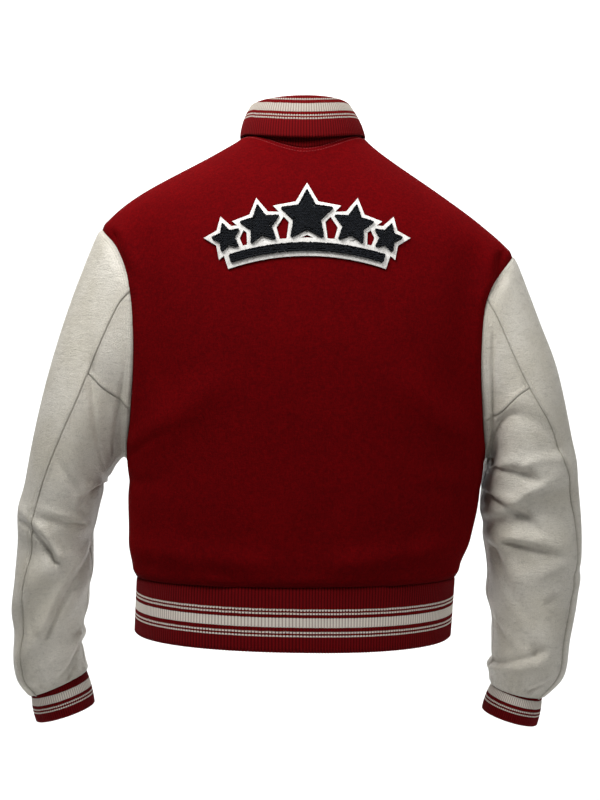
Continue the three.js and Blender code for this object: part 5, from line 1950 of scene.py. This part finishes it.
@dataclass(frozen=True)
class Knit:
    """Rib knit with stripes knitted in: loops in two slants up each rib."""

    name: str
    stripes: tuple[Stripe, ...]
    # deep and bright are the red in painted shade in the rib valleys and in painted light on the crests;
    # shaded_cream is the cream in painted shade.
    deep: Colour = tone(56, 2, 5)
    bright: Colour = tone(110, 5, 9)
    cream: Colour = tone(226, 219, 208)
    shaded_cream: Colour = tone(150, 132, 124)
    loop: float = 1.9
    soft: float = 0.35

    def build(self) -> Material:
        """Makes the material.

        A stripe's mask is a soft step up at its start and down at its end. A thin one is
        multiplied by the crest, |cos(pi rib)|, so that it breaks up into dashes.

        Returns:
            The material.
        """
        r = Recipe(self.name)
        chart = r.node("ShaderNodeUVMap", {"uv_map": "knit"}, {}, "UV")
        split = r.node("ShaderNodeSeparateXYZ", {}, {"Vector": chart}, 0)
        parts = split.socket.node.outputs
        rib, drop = (Signal(r, parts[axis]) * Ribbing.chart_scale for axis in "XY")
        wobble = (r.noise(90, 2, 0.5) - 0.5) * 0.9
        crest = (rib * np.pi).cosine().absolute()
        across = ((rib + 0.5).wrapped() - 0.5).absolute()
        slant = (drop + wobble * 0.3) / self.loop + across * 1.5
        loops = (slant * 2 * np.pi).sine() * 0.5 + 0.5
        fuzz = r.noise(1300, 2, 0.6)
        yarn = loops * 0.7 + fuzz * 0.3
        level = drop + wobble + loops * 0.5
        masks = {True: [], False: []}
        for start, end, thin in self.stripes:
            rising = level.ramp(start - self.soft, start + self.soft)
            masks[thin].append(rising * level.ramp(end - self.soft, end + self.soft, 1, 0))
        dashed, solid = (reduce(add, masks[thin]) for thin in (True, False))
        white = solid + dashed * crest.ramp(0.12, 0.5)
        # Painted light and shade across the ribs: lighter on the crests and darker in the valleys, in the
        # red and the cream alike.
        red = r.mix(self.deep, self.bright, crest.ramp(0.1, 0.95) * 0.7 + yarn * 0.3)
        pale = r.mix(self.shaded_cream, self.cream, crest.ramp(0.05, 0.8) * 0.8 + yarn * 0.2)
        colour = r.mix(red, pale, white.ramp(0.05, 0.95))
        normal = r.bump(yarn, 0.34, 0.8)
        return r.finish(
            Base_Color=colour, Roughness=0.9 - yarn * 0.08, Normal=normal, Sheen_Weight=0.03,
            Sheen_Roughness=0.5, Specular_IOR_Level=0.04,
        )


@dataclass(frozen=True)
class Felt:
    """Pressed felt: a matt off-white with fine matted fibres."""

    pale: Colour = tone(228, 226, 222)
    grey: Colour = tone(188, 184, 178)

    def build(self) -> Material:
        """Makes the material."""
        r = Recipe("pressed_felt")
        mat = r.noise(700, 4, 0.65) * 0.6 + r.noise(260, 3, 0.6, r.stretched((1.0, 1.0, 0.4), 0.7)) * 0.4
        colour = r.mix(self.grey, self.pale, mat.ramp(0.34, 0.56))
        return r.finish(
            Base_Color=colour, Roughness=0.96, Normal=r.bump(mat, 0.35, 0.8), Sheen_Weight=0.1,
            Specular_IOR_Level=0.1,
        )


@dataclass(frozen=True)
class Chenille:
    """Black chenille: soft tufts, each a little different, darkest between them by painted shade that
    lightens towards their tops.
    """

    black: Colour = tone(5, 6, 9)
    grey: Colour = tone(24, 28, 34)

    def build(self) -> Material:
        """Makes the material."""
        r = Recipe("chenille_pile")
        fuzz = r.noise(1600, 3, 0.7)
        # Painted shade: the height mark darkens each tuft's foot and lightens its top.
        shade = r.attribute("shade") * 0.35 + fuzz * 0.5 + r.attribute("height") * 0.35
        colour = r.mix(self.black, self.grey, shade.ramp(0.35, 1.05))
        return r.finish(
            Base_Color=colour, Roughness=0.95, Normal=r.bump(fuzz, 0.5, 0.9), Sheen_Weight=0.06,
            Sheen_Roughness=0.6, Specular_IOR_Level=0.06,
        )


@dataclass(frozen=True)
class Thread:
    """Twisted thread in one colour."""

    name: str
    dark: Colour
    light: Colour

    def build(self) -> Material:
        """Makes the material."""
        r = Recipe(self.name)
        twist = r.noise(2600, 1, 0.5, r.stretched((1.0, 1.0, 0.5), 0.8))
        colour = r.mix(self.dark, self.light, twist.ramp(0.35, 0.6))
        return r.finish(Base_Color=colour, Roughness=0.62, Normal=r.bump(twist, 0.12, 0.8), Sheen_Weight=0.1)


@dataclass(frozen=True)
class SnapMetal:
    """Painted snap caps: off-white enamel over metal, worn on the rim."""

    enamel: Colour = tone(222, 217, 204)
    metal: Colour = tone(176, 174, 170)

    def build(self) -> Material:
        """Makes the material."""
        r = Recipe("snap_enamel")
        wear = r.noise(900, 4, 0.6).ramp(0.6, 0.7)
        colour = r.mix(self.enamel, self.metal, wear)
        return r.finish(
            Base_Color=colour, Metallic=wear * 0.9, Roughness=0.3 + wear * 0.15,
            Normal=r.bump(wear, 0.05, 0.4), Coat_Weight=0.2,
        )


BAND_STRIPES = (
    Stripe(18.5, 20.5, True), Stripe(23, 25, True), Stripe(30, 41.5, False),
    Stripe(45.8, 47.8, True), Stripe(50, 52, True),
)
COLLAR_STRIPES = (
    Stripe(22, 24, True), Stripe(26.2, 28.2, True), Stripe(32.4, 44, False), Stripe(48.8, 51, True),
)
CUFF_STRIPES = (Stripe(13, 15, True), Stripe(17.5, 19.5, True), Stripe(24, 35, False))


# The studio


@dataclass(frozen=True)
class Lamp:
    """A square soft light that points at a place."""

    name: str
    place: tuple[float, float, float]
    aim: tuple[float, float, float]
    size: float
    power: float

    def build(self) -> None:
        """Makes the light."""
        data = bpy.data.lights.new(self.name, "AREA")
        data.shape, data.size, data.energy = "SQUARE", self.size, self.power
        lamp = link(self.name, data)
        lamp.location = self.place
        lamp.rotation_euler = (Vector(self.aim) - lamp.location).to_track_quat("-Z", "Y").to_euler()


@dataclass(frozen=True)
class Studio:
    """A pale floor that curves up into a wall, soft lamps and the camera behind the jacket."""

    floor: float = -1.2
    wall: float = -4.6
    bend: float = 1.4
    half_width: float = 7.0
    reach: float = 4.0
    height: float = 4.0
    bend_points: int = 24
    paper: Colour = (0.88, 0.88, 0.88, 1.0)
    ambient: float = 0.045
    lamps: tuple[Lamp, ...] = (
        Lamp("key", (0.5, 0.62, 0.9), (0.02, 0.05, -0.15), 0.6, 27.5),
        Lamp("fill", (-0.72, 0.7, 0.55), (-0.26, 0, -0.05), 0.45, 8),
        Lamp("wall_wash", (0, -2.0, 3.4), (0, -5.2, 0.6), 3.0, 330),
    )
    lens: float = 51.97
    sensor: float = 36.0
    eye: tuple[float, float, float] = (0.0065, 1.5, -0.3377)

    def backdrop(self) -> None:
        """Makes the floor and the wall as one sheet, a quarter circle joining them."""
        turn = np.linspace(0, np.pi / 2, self.bend_points)
        y = np.concatenate([[self.reach], self.wall + self.bend * (1 - np.sin(turn)), [self.wall]])
        z = np.concatenate([[0.0], self.bend * (1 - np.cos(turn)), [self.height]]) + self.floor
        x = np.array([-self.half_width, self.half_width])
        points = np.stack([np.broadcast_to(x, (len(y), 2)), np.stack([y, y], 1), np.stack([z, z], 1)], -1)
        mesh = bpy.data.meshes.new("backdrop")
        mesh.from_pydata(points.reshape(-1, 3), [], grid_faces(len(y), 2, False)[:, ::-1])
        mesh.materials.append(Recipe("studio_paper").finish(Base_Color=self.paper, Roughness=0.9))
        link("backdrop", smoothed(mesh))

    def camera(self) -> None:
        """Makes the camera, square on to the back."""
        data = bpy.data.cameras.new("camera")
        data.sensor_fit, data.sensor_height, data.lens = "VERTICAL", self.sensor, self.lens
        eye = link("camera", data)
        eye.location = self.eye
        eye.rotation_euler = (np.pi / 2, 0, np.pi)
        bpy.context.scene.camera = eye

    def build(self) -> None:
        """Makes the backdrop, the lamps, the world's light and the camera."""
        self.backdrop()
        for lamp in self.lamps:
            lamp.build()
        world = bpy.data.worlds.new("studio_air")
        world.use_nodes = True
        background = world.node_tree.nodes["Background"]
        background.inputs["Color"].default_value = self.paper
        background.inputs["Strength"].default_value = self.ambient
        bpy.context.scene.world = world
        bpy.context.scene.view_settings.view_transform = "Standard"
        self.camera()


# The jacket


class Piece(NamedTuple):
    """A sewn piece: its shell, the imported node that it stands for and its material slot."""

    shell: Shell
    node: str
    slot: str
    material: Material


@dataclass
class Jacket:
    """The whole jacket: its forms, and the making of every piece."""

    body: Body = Body()
    lap: Lap = Lap()
    ribbing: Ribbing = Ribbing()

    def __post_init__(self) -> None:
        """Works out the parts that share the body's form."""
        self.neck = Neck(self.body)
        self.armholes = {side: Armhole(self.body, side) for side in Side}
        self.sleeves = {side: Sleeve(side, self.armholes[side], *CROSS_SEAMS[side]) for side in Side}
        self.cuffs = {side: Cuff(self.sleeves[side], WRISTS[side], self.ribbing) for side in Side}
        self.panels = Panels(self.body, self.neck, self.lap, self.armholes)
        self.band = Waistband(self.body, self.lap, self.ribbing)
        self.collar = Collar(self.neck, self.lap, self.ribbing)
        self.thread = Stitching()

    def wool_shells(self) -> dict[str, Shell]:
        """The back and the two fronts, by node; the left front alone is lifted."""
        cuts = {
            "back": (self.panels.back_spots(), np.zeros_like),
            "front_left": (self.panels.front_spots(Side.LEFT), self.lap.height),
            "front_right": (self.panels.front_spots(Side.RIGHT), np.zeros_like),
        }
        return {node: self.panels.shell(f"{node}_wool", *cut) for node, cut in cuts.items()}

    def pieces(self, wool: dict[str, Shell], leather: dict[str, Shell]) -> list[Piece]:
        """Every cloth piece with its finish.

        Args:
            wool: The wool shells by node.
            leather: The leather shells by node.

        Returns:
            The pieces, in the order of their making.
        """
        cloth, hide = Wool().build(), Leather().build()
        found = [Piece(shell, node, "wool", cloth) for node, shell in wool.items()]
        found += [Piece(shell, node, "leather", hide) for node, shell in leather.items()]
        band_knit = Knit("waistband_rib", BAND_STRIPES).build()
        found.append(Piece(self.band.shell(), "waistband", "rib", band_knit))
        dim = {"cream": tone(176, 168, 157), "shaded_cream": tone(118, 103, 96)}
        collar_knit = Knit("collar_rib", COLLAR_STRIPES, **dim).build()
        found.append(Piece(self.collar.shell(), "collar", "rib", collar_knit))
        cuff_knit = Knit("cuff_rib", CUFF_STRIPES).build()
        for side, cuff in self.cuffs.items():
            found.append(Piece(cuff.shell(), f"cuff_{side.word}", "rib", cuff_knit))
        return found

    @staticmethod
    def fit(piece: Object, slot: str, material: Material, *nodes: str) -> None:
        """Gives an object its finish, attaches it to the root body and hides the nodes that it stands for.
        """
        piece.data.materials.append(material)
        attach(piece, "root")
        if nodes:
            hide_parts(*nodes)

    @staticmethod
    def declare(piece: Object, shell: Shell, sewn_on: Sequence[Object]) -> None:
        """Logs the sizes of a sheet of cloth's cut.

        The width is the widest row, the area the sum of the grid's cells, and the length the
        longest column, or the height over the widest row where the cut is a slanted triangle.
        """
        points = np.concatenate([shell.outer, shell.outer[:, :1]], 1) if shell.closed else shell.outer
        across = np.linalg.norm(np.diff(points, axis=1), axis=-1)
        along = np.linalg.norm(np.diff(points, axis=0), axis=-1)
        cells = np.cross(points[1:, 1:] - points[:-1, :-1], points[1:, :-1] - points[:-1, 1:])
        area = float(np.sum(np.linalg.norm(cells, axis=-1)) / 2)
        width = float(across.sum(1).max())
        length = min(float(along.sum(0).max()), 2 * area / width)
        area = min(area, width * length)
        log.info("%s %.0f x %.0f mm, %.0f square cm", piece.name, width, length, area / 100)

    def threads(self, wool: dict[str, Shell], leather: dict[str, Shell]) -> dict[str, Object]:
        """Topstitching by node: cream on the lapped leather, red round the neck and down the laps."""
        cream = Thread("cream_thread", tone(196, 188, 170), tone(236, 230, 214)).build()
        red = Thread("red_thread", tone(88, 6, 12), tone(170, 34, 38)).build()
        sewn = {}
        for side, sleeve in self.sleeves.items():
            for part in ("top", "gusset"):
                node = f"sleeve_{side.word}_{part}"
                shell = leather[node]
                line = Rope.inside(shell, shell.marks["lap"], sleeve.trim.stitch_line).between(*LEATHER_RUN)
                sewn[node] = self.thread.sew(f"{node}_topstitch", [line])
                self.fit(sewn[node], "", cream)
        for node, shell in wool.items():
            margins = Margins.of(shell.outer)
            lines = [Rope.inside(shell, margins.last_row, offset, turned=True).between(*NECK_RUN)
                     for offset in NECK_LINES]
            if node != "back":
                lines.append(Rope.inside(shell, margins.last_column, LAP_LINE).between(*LAP_RUN))
            sewn[node] = self.thread.sew(f"{node}_topstitch", lines)
            self.fit(sewn[node], "", red)
        return sewn

    def build(self) -> None:
        """Makes every piece of the jacket."""
        wool = self.wool_shells()
        leather = {}
        for sleeve in self.sleeves.values():
            leather.update(sleeve.shells())
        sewn = self.threads(wool, leather)
        for piece in self.pieces(wool, leather):
            made = piece.shell.build()
            self.fit(made, piece.slot, piece.material, piece.node)
            self.declare(made, piece.shell, [sewn[piece.node]] if piece.node in sewn else [])
        self.build_patch()
        self.build_snaps()

    def build_patch(self) -> None:
        """Makes the felt backing, the bar and the stars."""
        patch, pile = Patch(self.body), Chenille().build()
        felt = FeltBacking("patch_felt").build()
        self.fit(felt, "felt", Felt().build(), "patch_felt")
        bar = patch.pile_mesh("patch_bar_pile", patch.bar_outline())
        self.fit(bar, "chenille", pile, "patch_bar")
        for number, star in enumerate(patch.stars, 1):
            tufts = patch.pile_mesh(f"patch_star_{number}_pile", patch.star_outline(star))
            self.fit(tufts, "chenille", pile, f"patch_star_{number}")

    def build_snaps(self) -> None:
        """Makes the snaps' caps."""
        snaps, metal = Snaps(self.body, self.band, self.lap), SnapMetal().build()
        for number, level in enumerate(snaps.levels(), 1):
            cap = snaps.cap(f"snap_{number}_cap", level)
            self.fit(cap, "snap", metal, f"snap_{number}")


def main() -> None:
    """Makes the jacket and its studio."""
    logging.basicConfig(level=logging.INFO, format="%(name)s: %(message)s")
    Studio().build()
    Jacket().build()


if __name__ == "__main__":
    main()
